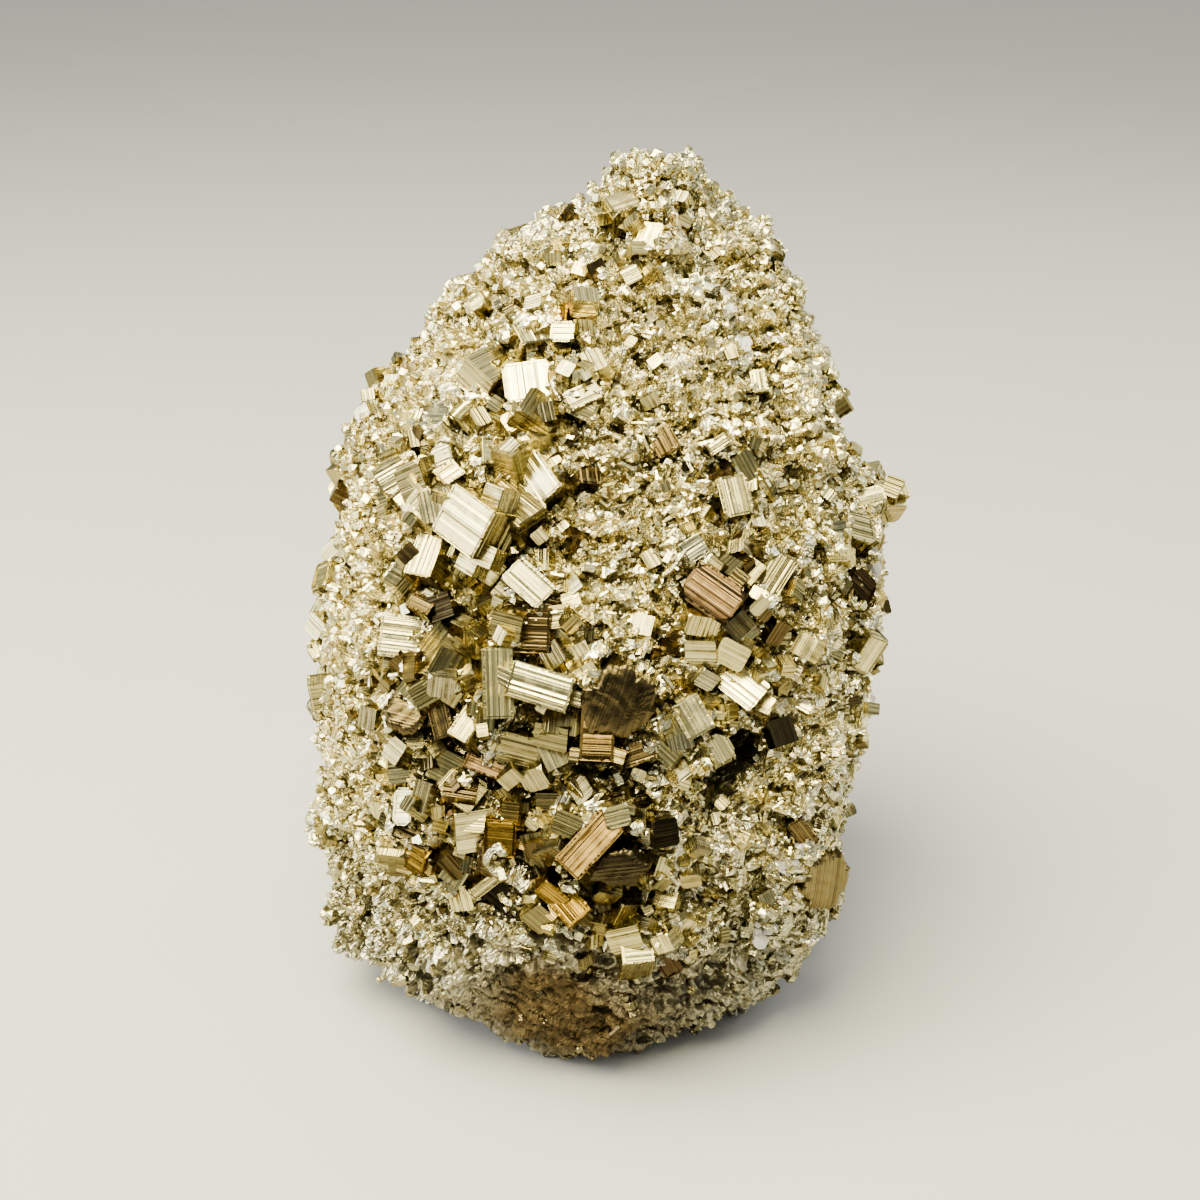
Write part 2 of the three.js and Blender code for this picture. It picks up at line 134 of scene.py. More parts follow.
# lumps and hollows: angle (0 is +X, 270 is -Y), height, how far out, reach
lumps = [
    # outcrop on the right rim, with a step above it
    (13, 99, 8, 5), (17, 90, 6, 6), (12, 79, 7.5, 6), (12, 68, 5.5, 6), (4, 110, -3, 6),
    # ledges down the left side, and its foot
    (196, 129, 2.5, 6), (188, 109, 4, 6), (187, 98, -1.5, 6), (188, 82, 3.5, 8), (190, 67, 2, 8),
    (188, 55, -2, 6), (196, 43, 3.5, 7), (202, 16, 3.5, 7), (210, 6, -2, 8), (236, 3, -4, 9),
    # crest of the belly, the recess under it and the crest below
    (256, 85, 5, 10), (240, 86, 2.5, 8), (274, 82, 3, 7), (262, 69, -5.5, 6), (244, 68, -3.5, 6),
    (278, 68, -2.5, 6), (271, 57, 4, 8), (243, 55, 2.5, 7), (256, 44, -1.5, 7),
    # ledge of the largest cubes and the hollow under it
    (243, 113, 4, 9), (249, 101, -4, 6), (259, 100, 1.5, 6), (226, 118, 1.5, 6),
    (270, 118, -1.5, 8),
    # right of the front: around the deep pocket
    (291, 100, 2.5, 9), (296, 68, -5, 7), (306, 84, 2.5, 7), (316, 62, 3, 8), (320, 44, 4, 9),
    (326, 27, 3, 8), (298, 50, -2, 6), (287, 30, -2.5, 11), (282, 38, 2, 6), (230, 40, 2.5, 10),
    (275, 14, 2, 9), (212, 62, -1.5, 8),
    # upper slopes
    (262, 131, 2, 7), (246, 142, -2, 6), (290, 140, 2, 6), (330, 136, 2.5, 6), (222, 137, 2, 6),
    (338, 118, 1.5, 9), (315, 112, -1.5, 8), (214, 105, -2, 7),
    # shoulders and notches of the summit
    (200, 149, 3, 5), (335, 150, 3.5, 5), (232, 153, -4, 4), (305, 151, -3.5, 4),
    (262, 157, 3, 4), (190, 158, 1.5, 4),
    # back
    (90, 60, 5, 14), (120, 100, 4, 11), (60, 30, 3.5, 12), (150, 35, -3.5, 10),
    (48, 120, 3.5, 9), (74, 92, -4.5, 8), (135, 72, -3.5, 8), (162, 84, 3.5, 8),
    (100, 22, -3, 9), (30, 45, -2.5, 9), (105, 135, 3, 7), (72, 108, 3, 7), (150, 118, 2.5, 7),
    (112, 44, 2.5, 7), (80, 78, 2, 6), (40, 62, 2.5, 7), (170, 28, 2.5, 8), (128, 56, 2, 6),
    (55, 96, 2, 7), (96, 150, 3, 5), (150, 146, 2.5, 5), (40, 142, 2.5, 6), (84, 8, 2, 8),
    (28, 12, -2, 8),
]

# open pockets: angle, height, length, width, depth, turn of the length in degrees
pockets = [
    (296, 68, 13, 6, 15, 60), (250, 100, 8, 3.5, 6, 20), (264, 52, 5, 4, 8, -30),
    (291, 45, 5, 4, 7, 0), (266, 38, 8, 3, 8, -10), (249, 151, 4, 3.5, 7, 60),
    (292, 148, 5, 4, 8, 80), (96, 84, 11, 5, 11, 35), (150, 52, 8, 5, 10, -40),
    (40, 74, 8, 4.5, 9, 15), (70, 128, 6, 4, 8, -20), (128, 26, 7, 4, 8, 60),
]


def sectionValue(height, column):
    # cubic blend between the sections, each end slope the mean of its two spans
    levels, values = sections[:, 0], sections[:, column]
    rise = np.diff(values) / np.diff(levels)
    slope = np.concatenate([rise[:1], (rise[1:] + rise[:-1]) / 2, rise[-1:]])
    i = np.clip(np.searchsorted(levels, height, side="right") - 1, 0, len(levels) - 2)
    gap = levels[i + 1] - levels[i]
    t = (height - levels[i]) / gap
    start = values[i] * (2 * t**3 - 3 * t**2 + 1)
    end = values[i + 1] * (3 * t**2 - 2 * t**3)
    return start + end + gap * (slope[i] * (t**3 - 2 * t**2 + t) + slope[i + 1] * (t**3 - t**2))


def swell(x, y, z):
    # three products of sines, each finer than the last
    broad = 1.3 * np.sin(0.23 * x + 0.11 * z + 1.3) * np.sin(0.19 * y - 0.21 * z + 0.4)
    middle = np.sin(0.41 * x - 0.33 * z + 2.1) * np.sin(0.37 * y + 0.29 * z + 0.7)
    fine = 0.7 * np.sin(0.71 * x + 0.13 * y + 0.55 * z) * np.sin(0.63 * z - 0.47 * y + 1.9)
    return broad + middle + fine


def massPoint(degrees, height, shrink=1.0):
    # rounded outline at each height, moved straight outwards by the lumps and the roll;
    # shrink draws the outline in to the middle, for the two closed ends
    angle = np.radians(degrees)
    outX, outY = np.cos(angle), np.sin(angle)
    halfWidth, halfDepth = sectionValue(height, 1), sectionValue(height, 2)
    power = 2 / sectionValue(height, 5)
    x = halfWidth * np.sign(outX) * np.abs(outX)**power
    y = halfDepth * np.sign(outY) * np.abs(outY)**power
    middleX, middleY = sectionValue(height, 3), sectionValue(height, 4)
    out = swell(x + middleX, y + middleY, height) * np.minimum(1, halfWidth / 25)
    perRadian = np.minimum(50, 1.15 * halfWidth)
    for lumpAngle, lumpHeight, rise, reach in lumps:
        across = perRadian * np.angle(np.exp(1j * np.radians(degrees - lumpAngle)))
        out = out + rise * np.exp(-(across**2 + (height - lumpHeight)**2) / reach**2)
    out = out * np.minimum(1, halfWidth / 16)
    x = middleX + shrink * (x + out * outX)
    y = middleY + shrink * (y + out * outY)
    return np.stack([x, y, height + 0 * x], axis=-1)


def massNormal(degrees, height):
    # straight off the surface, from two short steps along it
    around = massPoint(degrees + 4, height) - massPoint(degrees - 4, height)
    above = massPoint(degrees, np.minimum(height + 4, lastLevel))
    upward = above - massPoint(degrees, np.maximum(height - 4, 0))
    return unit(np.cross(around, upward))


def unit(vectors):
    # each vector over its own length
    return vectors / np.maximum(np.linalg.norm(vectors, axis=-1, keepdims=True), 1e-9)


def straySeeds(cells, seed):
    # three stray numbers from 0 to 1 for each whole-numbered cell of space
    key = (cells * np.array([73856093, 19349663, 83492791])).sum(axis=-1) + seed * 2654435
    return np.stack([np.modf(np.abs(np.sin(key * k) * 43758.5453))[0]
                     for k in (0.0129898, 0.0078233, 0.0037719)], axis=-1)


def strayTurn(seeds):
    # an even random turn from three numbers from 0 to 1, by way of a unit quaternion
    a, b, c = np.moveaxis(seeds, -1, 0)
    x, y = np.sqrt(1 - a) * np.sin(math.tau * b), np.sqrt(1 - a) * np.cos(math.tau * b)
    z, w = np.sqrt(a) * np.sin(math.tau * c), np.sqrt(a) * np.cos(math.tau * c)
    rows = [[1 - 2 * (y * y + z * z), 2 * (x * y - z * w), 2 * (x * z + y * w)],
            [2 * (x * y + z * w), 1 - 2 * (x * x + z * z), 2 * (y * z - x * w)],
            [2 * (x * z - y * w), 2 * (y * z + x * w), 1 - 2 * (x * x + y * y)]]
    return np.stack([np.stack(row, axis=-1) for row in rows], axis=-2)


def nearestSeed(points, size, seed):
    # distance in cells to the nearest of one loose seed point per cell, and its numbers
    scaled = points / size
    cell = np.floor(scaled).astype(np.int64)
    nearest = np.full(len(points), 9.0)
    owner = np.zeros((len(points), 3))
    for step in np.ndindex(3, 3, 3):
        home = cell + np.array(step) - 1
        loose = straySeeds(home, seed)
        distance = np.linalg.norm(home + loose - scaled, axis=1)
        closer = distance < nearest
        nearest = np.where(closer, distance, nearest)
        owner = np.where(closer[:, None], loose, owner)
    return nearest, owner


def cubeRelief(points, normals, size, seed):
    # cubes grown through each other: each cell holds one cube turned at random, and a
    # point rises along its normal until it leaves the last of them, which for each cube
    # is the least of the distances to its three outward planes
    scaled = points / size
    cell = np.floor(scaled).astype(np.int64)
    relief = np.full(len(points), -9.0)
    for step in np.ndindex(3, 3, 3):
        home = cell + np.array(step) - 1
        loose = straySeeds(home, seed)
        axes = strayTurn(np.modf(loose * 7.31)[0])
        offset = ((scaled - home - loose)[:, None, :] * axes).sum(axis=-1)
        facing = (normals[:, None, :] * axes).sum(axis=-1)
        half = 0.38 + 0.3 * loose[:, :1]
        leave = (half - np.sign(facing) * offset) / np.maximum(np.abs(facing), 0.32)
        relief = np.maximum(relief, leave.min(axis=1))
    return size * relief


def faceAxes(degrees, slope, roll):
    # along the striations, across them, and out of the face
    azimuth, lift, turn = np.radians(degrees), np.radians(slope), np.radians(roll)
    level = np.stack([np.cos(azimuth), np.sin(azimuth), 0 * azimuth], axis=-1)
    out = np.stack([np.sin(azimuth) * np.cos(lift), -np.cos(azimuth) * np.cos(lift),
                    np.sin(lift)], axis=-1)
    rising = np.cross(out, level)
    along = level * np.cos(turn)[..., None] + rising * np.sin(turn)[..., None]
    return along, np.cross(out, along), out


def pocketDepth(points, degrees):
    # how far the pockets push the surface in: flat-bottomed bowls with steep sides
    inward = np.zeros(len(points))
    for angle, height, length, width, depth, turn in np.array(pockets, dtype=float):
        normal = massNormal(angle, height)
        slope = math.degrees(math.asin(normal[2]))
        along, across, _ = faceAxes(angle + 90, slope, turn)
        offset = points - massPoint(angle, height)
        reach = np.abs(offset @ along / (0.54 * length))**4
        reach = reach + np.abs(offset @ across / (0.58 * width))**4
        sameSide = np.cos(np.radians(degrees - angle)) > 0.5
        inward = np.maximum(inward, np.where(sameSide, 0.8 * depth * np.exp(-reach), 0))
    return inward


def addMesh(name, points, faceSets, uvs=None, tints=None, extra=None):
    # points in millimetres, none below the resting face; faceSets a list of arrays of
    # corner numbers, one row a face
    points[:, 2] = np.maximum(points[:, 2], 0)
    mesh = bpy.data.meshes.new(name)
    corners = np.concatenate([faces.ravel() for faces in faceSets])
    sizes = np.concatenate([np.full(len(faces), faces.shape[1]) for faces in faceSets])
    starts = np.concatenate([[0], np.cumsum(sizes)[:-1]])
    mesh.vertices.add(len(points))
    mesh.vertices.foreach_set("co", (points * mm).astype(np.float32).ravel())
    mesh.loops.add(len(corners))
    mesh.loops.foreach_set("vertex_index", corners.astype(np.int32))
    mesh.polygons.add(len(sizes))
    mesh.polygons.foreach_set("loop_start", starts.astype(np.int32))
    mesh.update(calc_edges=True)
    mesh.validate()
    mesh.shade_flat()
    if uvs is not None:
        layer = mesh.uv_layers.new(name="faceMm")
        layer.uv.foreach_set("vector", uvs.astype(np.float32).ravel())
    if tints is not None:
        layer = mesh.attributes.new("tint", "FLOAT_COLOR", "POINT")
        colours = np.concatenate([tints, np.ones((len(tints), 1))], axis=1)
        layer.data.foreach_set("color", colours.astype(np.float32).ravel())
    for key, values in (extra or {}).items():
        layer = mesh.attributes.new(key, "FLOAT", "POINT")
        layer.data.foreach_set("value", values.astype(np.float32))
    piece = bpy.data.objects.new(name, mesh)
    bpy.context.scene.collection.objects.link(piece)
    print(f"pyrite cluster: {name} made, {len(sizes)} faces")
    return piece


# fields of denser crystals: angle, height, reach in degrees, reach in height, strength
crystalFields = [
    (238, 116, 20, 20, 1), (250, 86, 20, 18, 1), (262, 62, 24, 18, 0.9), (243, 56, 20, 14, 0.9),
    (292, 86, 15, 18, 0.8), (302, 106, 12, 18, 0.7), (248, 134, 22, 9, 0.7), (338, 92, 12, 16, 0.7),
    (280, 40, 18, 9, 0.5), (275, 152, 30, 6, 0.6), (95, 100, 30, 22, 0.9), (105, 60, 28, 20, 0.9),
    (70, 50, 25, 18, 0.7), (155, 85, 22, 25, 0.8), (150, 45, 20, 15, 0.7),
    (30, 50, 20, 18, 0.7), (60, 130, 30, 12, 0.5), (130, 130, 25, 12, 0.5),
    (12, 88, 16, 16, 0.6), (178, 112, 18, 16, 0.7), (184, 66, 14, 18, 0.5), (45, 95, 16, 20, 0.6),
]
# fields of fine needles, the same columns
needleFields = [
    (280, 112, 12, 26, 1), (272, 100, 8, 20, 0.6), (300, 125, 16, 12, 0.4), (222, 96, 14, 16, 0.7),
    (310, 60, 14, 16, 0.5), (20, 100, 20, 25, 0.6), (120, 110, 18, 16, 0.6), (170, 60, 20, 18, 0.6),
]
# fields of rounded nodules
noduleFields = [
    (190, 105, 16, 30, 1), (200, 60, 14, 40, 0.7), (345, 120, 20, 25, 1), (330, 130, 20, 14, 0.7),
    (270, 158, 90, 9, 0.8), (90, 150, 90, 14, 0.9), (350, 40, 20, 25, 0.6), (215, 140, 20, 12, 0.6),
    (305, 72, 7, 8, 0.9), (60, 85, 20, 18, 0.6), (130, 30, 20, 16, 0.6),
]
# where the knobs of the mass stand out most
knobFields = [
    (315, 45, 28, 32, 1), (200, 95, 18, 45, 0.6), (130, 60, 30, 30, 0.6), (20, 70, 20, 35, 0.6),
]
# where the mass is brown and matt, as freshly broken
brokenFields = [(268, 13, 34, 15, 1.2), (262, 28, 12, 7, 0.6), (110, 12, 25, 9, 0.6)]
# where it is warmer and darker, under the belly
warmFields = [
    (252, 68, 18, 12, 1), (264, 52, 14, 9, 0.8), (270, 78, 8, 8, 0.5), (100, 62, 18, 12, 0.6),
]


def fieldStrength(fields, degrees, height):
    # sum of soft round patches over the surface
    total = np.zeros(np.shape(degrees))
    for angle, level, reachAngle, reachHeight, strength in fields:
        turn = np.degrees(np.angle(np.exp(1j * np.radians(degrees - angle))))
        far = (turn / reachAngle)**2 + ((height - level) / reachHeight)**2
        total = total + strength * np.exp(-far)
    return np.minimum(total, 1)


def massGrid():
    # angle around against height, with rows that close the summit and the resting face
    g = groundMass
    degrees = np.arange(g["around"]) * 360 / g["around"]
    under = np.arange(1, g["underRows"]) / g["underRows"]
    share = np.linspace(0, 1, g["rows"])
    body = lastLevel * (share + 0.06 * share * (1 - share))
    cap = np.arange(1, g["capRows"]) / g["capRows"]
    dome = lastLevel + (g["top"] - lastLevel) * (1 - (1 - cap)**2)
    height = np.concatenate([0 * under, body, dome])
    shrink = np.concatenate([under, np.ones(g["rows"]), 1 - cap])
    angleGrid, heightGrid = np.meshgrid(degrees, height)
    shrinkGrid = np.repeat(shrink[:, None], g["around"], axis=1)
    points = massPoint(angleGrid, np.minimum(heightGrid, lastLevel), shrinkGrid)
    points[..., 2] += np.maximum(heightGrid - lastLevel, 0)
    return angleGrid, heightGrid, points


def gridNormals(points):
    # normal of a grid that closes around: cross product of its two steps
    around = np.roll(points, -1, axis=1) - np.roll(points, 1, axis=1)
    upward = np.empty_like(points)
    upward[1:-1] = points[2:] - points[:-2]
    upward[0], upward[-1] = points[1] - points[0], points[-1] - points[-2]
    return unit(np.cross(around, upward))


def gridMean(grid, reach):
    # mean over a square of neighbours on a grid that closes around
    total = sum(np.roll(grid, step, axis=1) for step in range(-reach, reach + 1))
    padded = np.concatenate([total[:1]] * reach + [total] + [total[-1:]] * reach)
    rows = sum(padded[step:step + len(grid)] for step in range(2 * reach + 1))
    return rows / (2 * reach + 1)**2


def inParts(relief, points, normals, size, seed):
    # the relief worked out for a few thousand points at a time, which is quicker, and
    # measured from its median
    parts = [np.array_split(values, 100) for values in (points, normals)]
    heights = np.concatenate([relief(p, n, size, seed) for p, n in zip(*parts)])
    return heights - np.median(heights)


def knobRelief(points, normals, size, seed):
    # a domed knob over each loose seed point, with a crease between neighbours
    return 0.5 - nearestSeed(points, size, seed)[0]**2


def roughMass():
    # the grid with its pockets pushed in, then knobs, blocks, chips and specks of
    # grown-together cubes raised off it; also the painted shade of each place, darker in hollows
    g = groundMass
    angleGrid, heightGrid, points = massGrid()
    shape = angleGrid.shape
    flat, degrees, height = points.reshape(-1, 3), angleGrid.ravel(), heightGrid.ravel()
    normal = gridNormals(points).reshape(-1, 3)
    inward = pocketDepth(flat, degrees)
    kinds = zip(("knob", "block", "chip", "speck"), g["seeds"])
    knob, block, chip, speck = [
        inParts(knobRelief if kind == "knob" else cubeRelief, flat, normal, g[kind], seed)
        for kind, seed in kinds]
    inField = fieldStrength(crystalFields, degrees, height)
    blocky = g["blockBare"] + (1 - g["blockBare"]) * inField
    broken = fieldStrength(brokenFields, degrees, height)
    knobby = 1 + g["knobbier"] * fieldStrength(knobFields, degrees, height)
    raised = g["knobHeight"] * knobby * knob + g["blockShare"] * blocky * block
    raised = raised + g["chipShare"] * chip + g["speckShare"] * speck
    raised = np.clip(raised, *g["rise"]) * (1 - g["brokenCalm"] * broken)
    onBase = height <= 0
    raised = np.where(onBase, 0, raised - g["sink"])
    moved = flat + normal * (raised - np.where(onBase, 0, inward))[:, None]
    moved[:, 2] = np.where(onBase, 0, np.maximum(moved[:, 2], 0.05))
    raised, inward = raised.reshape(shape), inward.reshape(shape)
    # painted shade: darker in hollows and pockets, towards the resting face and at the summit
    s = paintedMassShade
    broad = raised - gridMean(raised, s["broadReach"])
    near = raised - gridMean(raised, s["nearReach"])
    shade = np.clip(s["level"] + s["broad"] * broad + s["near"] * near, *s["range"])
    shade = shade * np.clip(1 - inward / s["pocketBlack"], s["pocketLeast"], 1)
    shade = shade * (s["foot"] + (1 - s["foot"]) * np.clip(heightGrid / s["footTop"], 0, 1))
    summit = np.clip((heightGrid - s["summitFrom"]) / s["summitOver"], 0, 1)
    shade = shade * (1 - s["summitLoss"] * summit)
    smooth = normal.reshape(points.shape)
    return angleGrid, heightGrid, moved.reshape(points.shape), smooth, inward, shade


massAngle, massHeight, massPoints, massNormals, massInward, massPaintedShade = roughMass()
print("pyrite cluster: ground mass worked out")

# angle, height, how far the face stands out, length along the striations, width across
# them, depth, turn away from straight outwards, slope of the face upwards, turn of the
# striations, corner cut (share of width), tarnish
cubeRows = [
    (247, 111, 5.5, 11, 9.5, 13, -15, 25, -15, 0.05, "cream"),  # largest cube
    (254, 113, 3.5, 11, 7.5, 11, 20, 65, -50, 0.1, "khaki"),  # its khaki neighbour
    (247, 130, 3.5, 7.5, 9, 9, 20, 40, -80, 0.14, "pale"),  # bright cube above
    (221, 123, 2, 6, 6.5, 6, 5, 50, 15, 0.1, "grey"),  # grey stepped cube
    (229, 125, 2.5, 5.5, 4.5, 6, -15, 55, 90, 0.05, "cream"),  # cube showing two faces
    (224, 114, 2.5, 6.5, 6.5, 6, 45, 25, 30, 0.3, "pale"),  # eight-sided flat face
    (237, 104, 3, 8.5, 5.5, 8, 0, 45, -85, 0.05, "cream"),  # cream slab under the largest
    (258, 117, 3, 9, 5.5, 8, -25, 25, -35, 0.1, "pale"),  # bright leaning slab
    (245, 120, 2, 4, 5.5, 6, 50, 45, -15, 0.05, "pale"),
    (234, 119, 1.5, 4, 5, 6, 15, 35, 30, 0.35, "grey"),
    (239, 117, 2, 4.5, 4, 7, 30, 55, 40, 0.05, "cream"),  # twin beside the largest
    (259, 101, 3, 8.5, 5.5, 8, 15, 40, -45, 0.1, "pale"),
    (232, 89, 3, 9, 8, 9, 45, 35, -10, 0.08, "pale"),
    (235, 96, 1.5, 5.5, 3.5, 6, 5, 55, -10, 0.1, "brown"),  # brown wedge
    (259, 94, 2.5, 6.5, 8, 8, -5, 25, 5, 0.05, "bronze"),  # orange banded cube
    (254, 86, 3, 12.5, 5.5, 9, 30, 30, 85, 0.08, "cream"),  # long cream pillar
    (261, 86, 4.5, 11.5, 6.5, 9, -5, 30, -10, 0.05, "pale"),  # brightest slab
    (270, 80, 3.5, 6, 10, 9, -5, 35, 0, 0.04, "rosyGold"),  # red-gold banded cube
    (236, 78, 2.5, 6.5, 5, 8, 25, 40, -10, 0.1, "umber"),
    (242, 78, 2.5, 7, 4, 7, 10, 30, -65, 0.08, "brown"),  # dark upright cube
    (250, 80, 3, 7, 4.5, 8, -5, 50, 75, 0.05, "khaki"),
    (252, 71, 3, 7.5, 4, 8, 15, 40, -20, 0.05, "rosy"),
    (258, 75, 2, 8.5, 6.5, 8, 10, 0, -15, 0.2, "khaki"),
    (275, 76, 2.5, 7, 4, 6, -20, 35, 25, 0.05, "brown"),
    (281, 74, 2.5, 6.5, 4.5, 6, 10, 20, -50, 0.05, "cream"),
    (236, 60, 3, 4, 7, 7, 0, 30, 15, 0.25, "pale"),  # bright capped cube
    (238, 56, 2, 7.5, 3.5, 7, 25, 35, -20, 0.12, "umber"),
    (239, 52, 1.5, 5, 5.5, 6, 0, 10, -15, 0.25, "gold"),  # golden wedge
    (256, 58, 2.5, 6, 6.5, 8, -5, 25, 5, 0.05, "gold"),
    (270, 60, 4.5, 12, 6, 12, -20, 45, 60, 0.05, "rosyGold"),  # long bronze block
    (268, 49, 2.5, 6.5, 5.5, 8, -5, 40, -45, 0.05, "gold"),
    (266, 50, 1.5, 6, 3.5, 7, 0, 5, -40, 0.1, "gold"),
    (279, 38, 3.5, 6, 4.5, 9, 0, 55, 0, 0.08, "cream"),  # cream-topped block
    (284, 80, 2.5, 7, 5.5, 8, -25, 30, -55, 0.1, "pale"),  # steep bright slab
    (290, 74, 3, 5.5, 4.5, 8, -5, 40, -70, 0.35, "cream"),  # rounded bright cube
    (288, 100, 4, 10.5, 7.5, 10, -30, 35, -30, 0.28, "rosy"),  # rosy six-sided face
    (295, 114, 2.5, 7.5, 5.5, 8, -20, 35, -80, 0.18, "cream"),
    (302, 100, 2.5, 9, 5, 8, -20, 40, 50, 0.1, "khaki"),
    (294, 84, 3, 9.5, 6, 8, -40, 40, -30, 0.05, "pale"),
    (287, 106, 2, 4.5, 4, 6, -10, 35, 30, 0.08, "grey"),
    (355, 101, 2.5, 7, 4, 8, -85, 45, 15, 0.2, "pale"),  # rim cube, top
    (341, 100, 2, 6, 7, 8, -25, 50, -35, 0.2, "khaki"),  # rim cube, khaki
    (338, 91, 2.5, 7.5, 5.5, 8, -25, 20, -50, 0.2, "rosy"),  # rim cube, brown
    (340, 77, 3, 8, 5, 8, -50, -5, 60, 0.15, "pale"),  # rim blade
    (246, 157, 3, 6, 5.5, 8, 25, 60, 25, 0.2, "pale"),  # summit cube
    (266, 152, 2.5, 5.5, 4.5, 7, -25, 45, -90, 0.08, "cream"),  # cube below the summit
    (242, 138, 2, 5.5, 7, 7, 55, 60, 90, 0.1, "pale"),
    (232, 138, 2, 6, 3.5, 6, -5, 55, 30, 0.1, "pale"),
    (208, 140, 1.5, 3.5, 3.5, 6, 30, 35, 45, 0.25, "pale"),
    (251, 138, 2, 4.5, 4, 7, 0, 35, 5, 0.15, "pale"),
    (261, 130, 2, 6.5, 4, 7, 15, 50, 25, 0.12, "pale"),
    (262, 128, 2, 5.5, 4, 7, 10, 25, -25, 0.2, "cream"),  # upper fan cube
    (310, 135, 1.5, 3, 2, 5, -25, 25, 10, 0.1, "gold"),  # amber chip
    (307, 130, 2, 4.5, 3, 6, -40, 35, -80, 0.12, "cream"),
    (280, 122, 2, 5.5, 4.5, 7, -15, 35, -60, 0.08, "bronze"),  # orange leaning cube
    (292, 122, 2, 4.5, 2.5, 7, -15, 35, 30, 0.15, "cream"),
    (267, 118, 1.5, 4, 4.5, 6, 40, 45, 70, 0.2, "brown"),
    (254, 54, 2, 3.5, 7, 7, -10, 0, -5, 0.3, "brown"),
    (252, 48, 2, 6.5, 2.5, 6, 35, 15, 30, 0.2, "cream"),
    (248, 62, 1.5, 5.5, 3, 5, 15, 45, 45, 0.1, "rosy"),
    (286, 30, 2, 5.5, 4, 6, -10, 5, -60, 0.2, "rosy"),  # bronze plank
    (283, 62, 1.5, 4.5, 3.5, 7, 5, 25, 25, 0.3, "khaki"),
    (314, 53, 1.5, 6.5, 3.5, 7, -45, 0, -55, 0.2, "brown"),
    (88, 104, 4, 10, 9, 10, 15, 30, 25, 0.06, "cream"),  # back, largest
    (97, 96, 3, 8, 6, 8, -25, 20, -50, 0.1, "khaki"),
    (78, 112, 2.5, 6, 7, 7, 20, 40, 70, 0.25, "pale"),
    (110, 62, 4, 9.5, 8, 10, 10, 25, -35, 0.28, "bronze"),
    (101, 55, 3, 7, 10, 8, -20, 35, 10, 0.05, "pale"),
    (84, 70, 3, 9, 5.5, 8, 25, 15, 60, 0.05, "cream"),
    (122, 78, 3, 6.5, 6.5, 7, -15, 45, 0, 0.12, "brown"),
    (68, 44, 3.5, 8, 8.5, 9, 20, 10, 40, 0.05, "rosy"),
    (92, 36, 2.5, 7, 5, 7, -10, -10, -20, 0.2, "pale"),
    (60, 90, 3, 7.5, 7, 8, -20, 30, 80, 0.08, "gold"),
    (140, 110, 3, 7, 8, 8, 15, 40, -60, 0.05, "khaki"),
    (155, 92, 3.5, 9, 7.5, 9, -10, 30, 15, 0.1, "pale"),
    (168, 72, 3, 6.5, 7, 8, 20, 20, 50, 0.3, "cream"),
    (145, 60, 2.5, 6, 5, 7, -20, 0, -40, 0.08, "rosyGold"),
    (160, 40, 3, 8, 6, 8, 10, 15, 5, 0.05, "umber"),
    (176, 56, 2.5, 6, 7.5, 7, 15, 35, -75, 0.12, "grey"),
    (190, 88, 2.5, 6, 5.5, 7, 10, 30, 35, 0.08, "pale"),
    (200, 44, 1.5, 5.5, 5, 6, -10, 20, -15, 0.2, "cream"),
    (45, 58, 3, 7, 6.5, 8, 15, 25, -30, 0.06, "cream"),
    (28, 32, 3, 6.5, 8, 8, -15, 10, 65, 0.1, "khaki"),
    (8, 46, 2.5, 6, 6, 7, 10, 20, -5, 0.25, "pale"),
    (352, 74, 2, 6.5, 5, 7, -15, 30, 45, 0.05, "cream"),
    (20, 108, 2.5, 6, 7, 7, 10, 40, -45, 0.1, "pale"),
    (112, 128, 2.5, 6, 5.5, 7, -15, 45, 30, 0.12, "cream"),
    (62, 136, 2, 5, 5.5, 6, 10, 50, -70, 0.08, "brown"),
    (160, 128, 2, 5.5, 5, 6, 15, 45, 10, 0.2, "rosy"),
    (125, 148, 2, 4.5, 5, 6, -10, 50, 60, 0.1, "pale"),
    (30, 148, 2, 4.5, 4, 6, 10, 40, -25, 0.1, "gold"),
    (345, 148, 2, 4.5, 5, 6, -10, 45, 40, 0.2, "khaki"),
    (118, 14, 2.5, 7, 6, 7, 10, 0, -30, 0.08, "pale"),
]

largeCubes = {
    "stripe": 0.46,  # mm, mean width of a striation
    "stripeDepth": 0.07,  # mm, how deep a striation is cut
    "terrace": 0.05,  # mm, how far the face wanders from one striation to the next
    "wanderMost": 0.32,  # mm, and how far it may go in all
    "chip": 0.16,  # mm, how ragged the ends of the striations are
    "shell": 0.5,  # mm, depth of the striated layer
    "spreadCount": 60,  # smaller cubes spread evenly round the sides and the back
    "companions": 3,  # cubes grown into the sides of each larger one
    "companionLeast": 4.8,  # mm, width from which a cube has them
    "companionSize": (0.3, 0.62),  # share of its width
    "companionBack": (0.7, 3.2),  # mm, how far their faces lie behind its own
    "companionStray": 0.14,  # how far they stray from parallel
    "footShade": 0.62,  # painted shade: brightness at the resting face
    "fullHeight": 130.0,  # mm, the height over which that rises by one
    "sideShades": (0.6, 0.28),  # painted shade of an upright side face, and how much more for one that looks up
    # painted shade of the plain core, seen between the striated plates
    "coreShade": 0.8,
    "seed": 41,
}
# how strongly the painted shade of the striations darkens a face, by its tarnish
banding = {"pale": 0.5, "cream": 0.6, "khaki": 0.6, "grey": 0.6, "brown": 0.75, "umber": 0.7,
           "bronze": 0.85, "rosyGold": 0.85, "rosy": 0.7, "gold": 0.75}


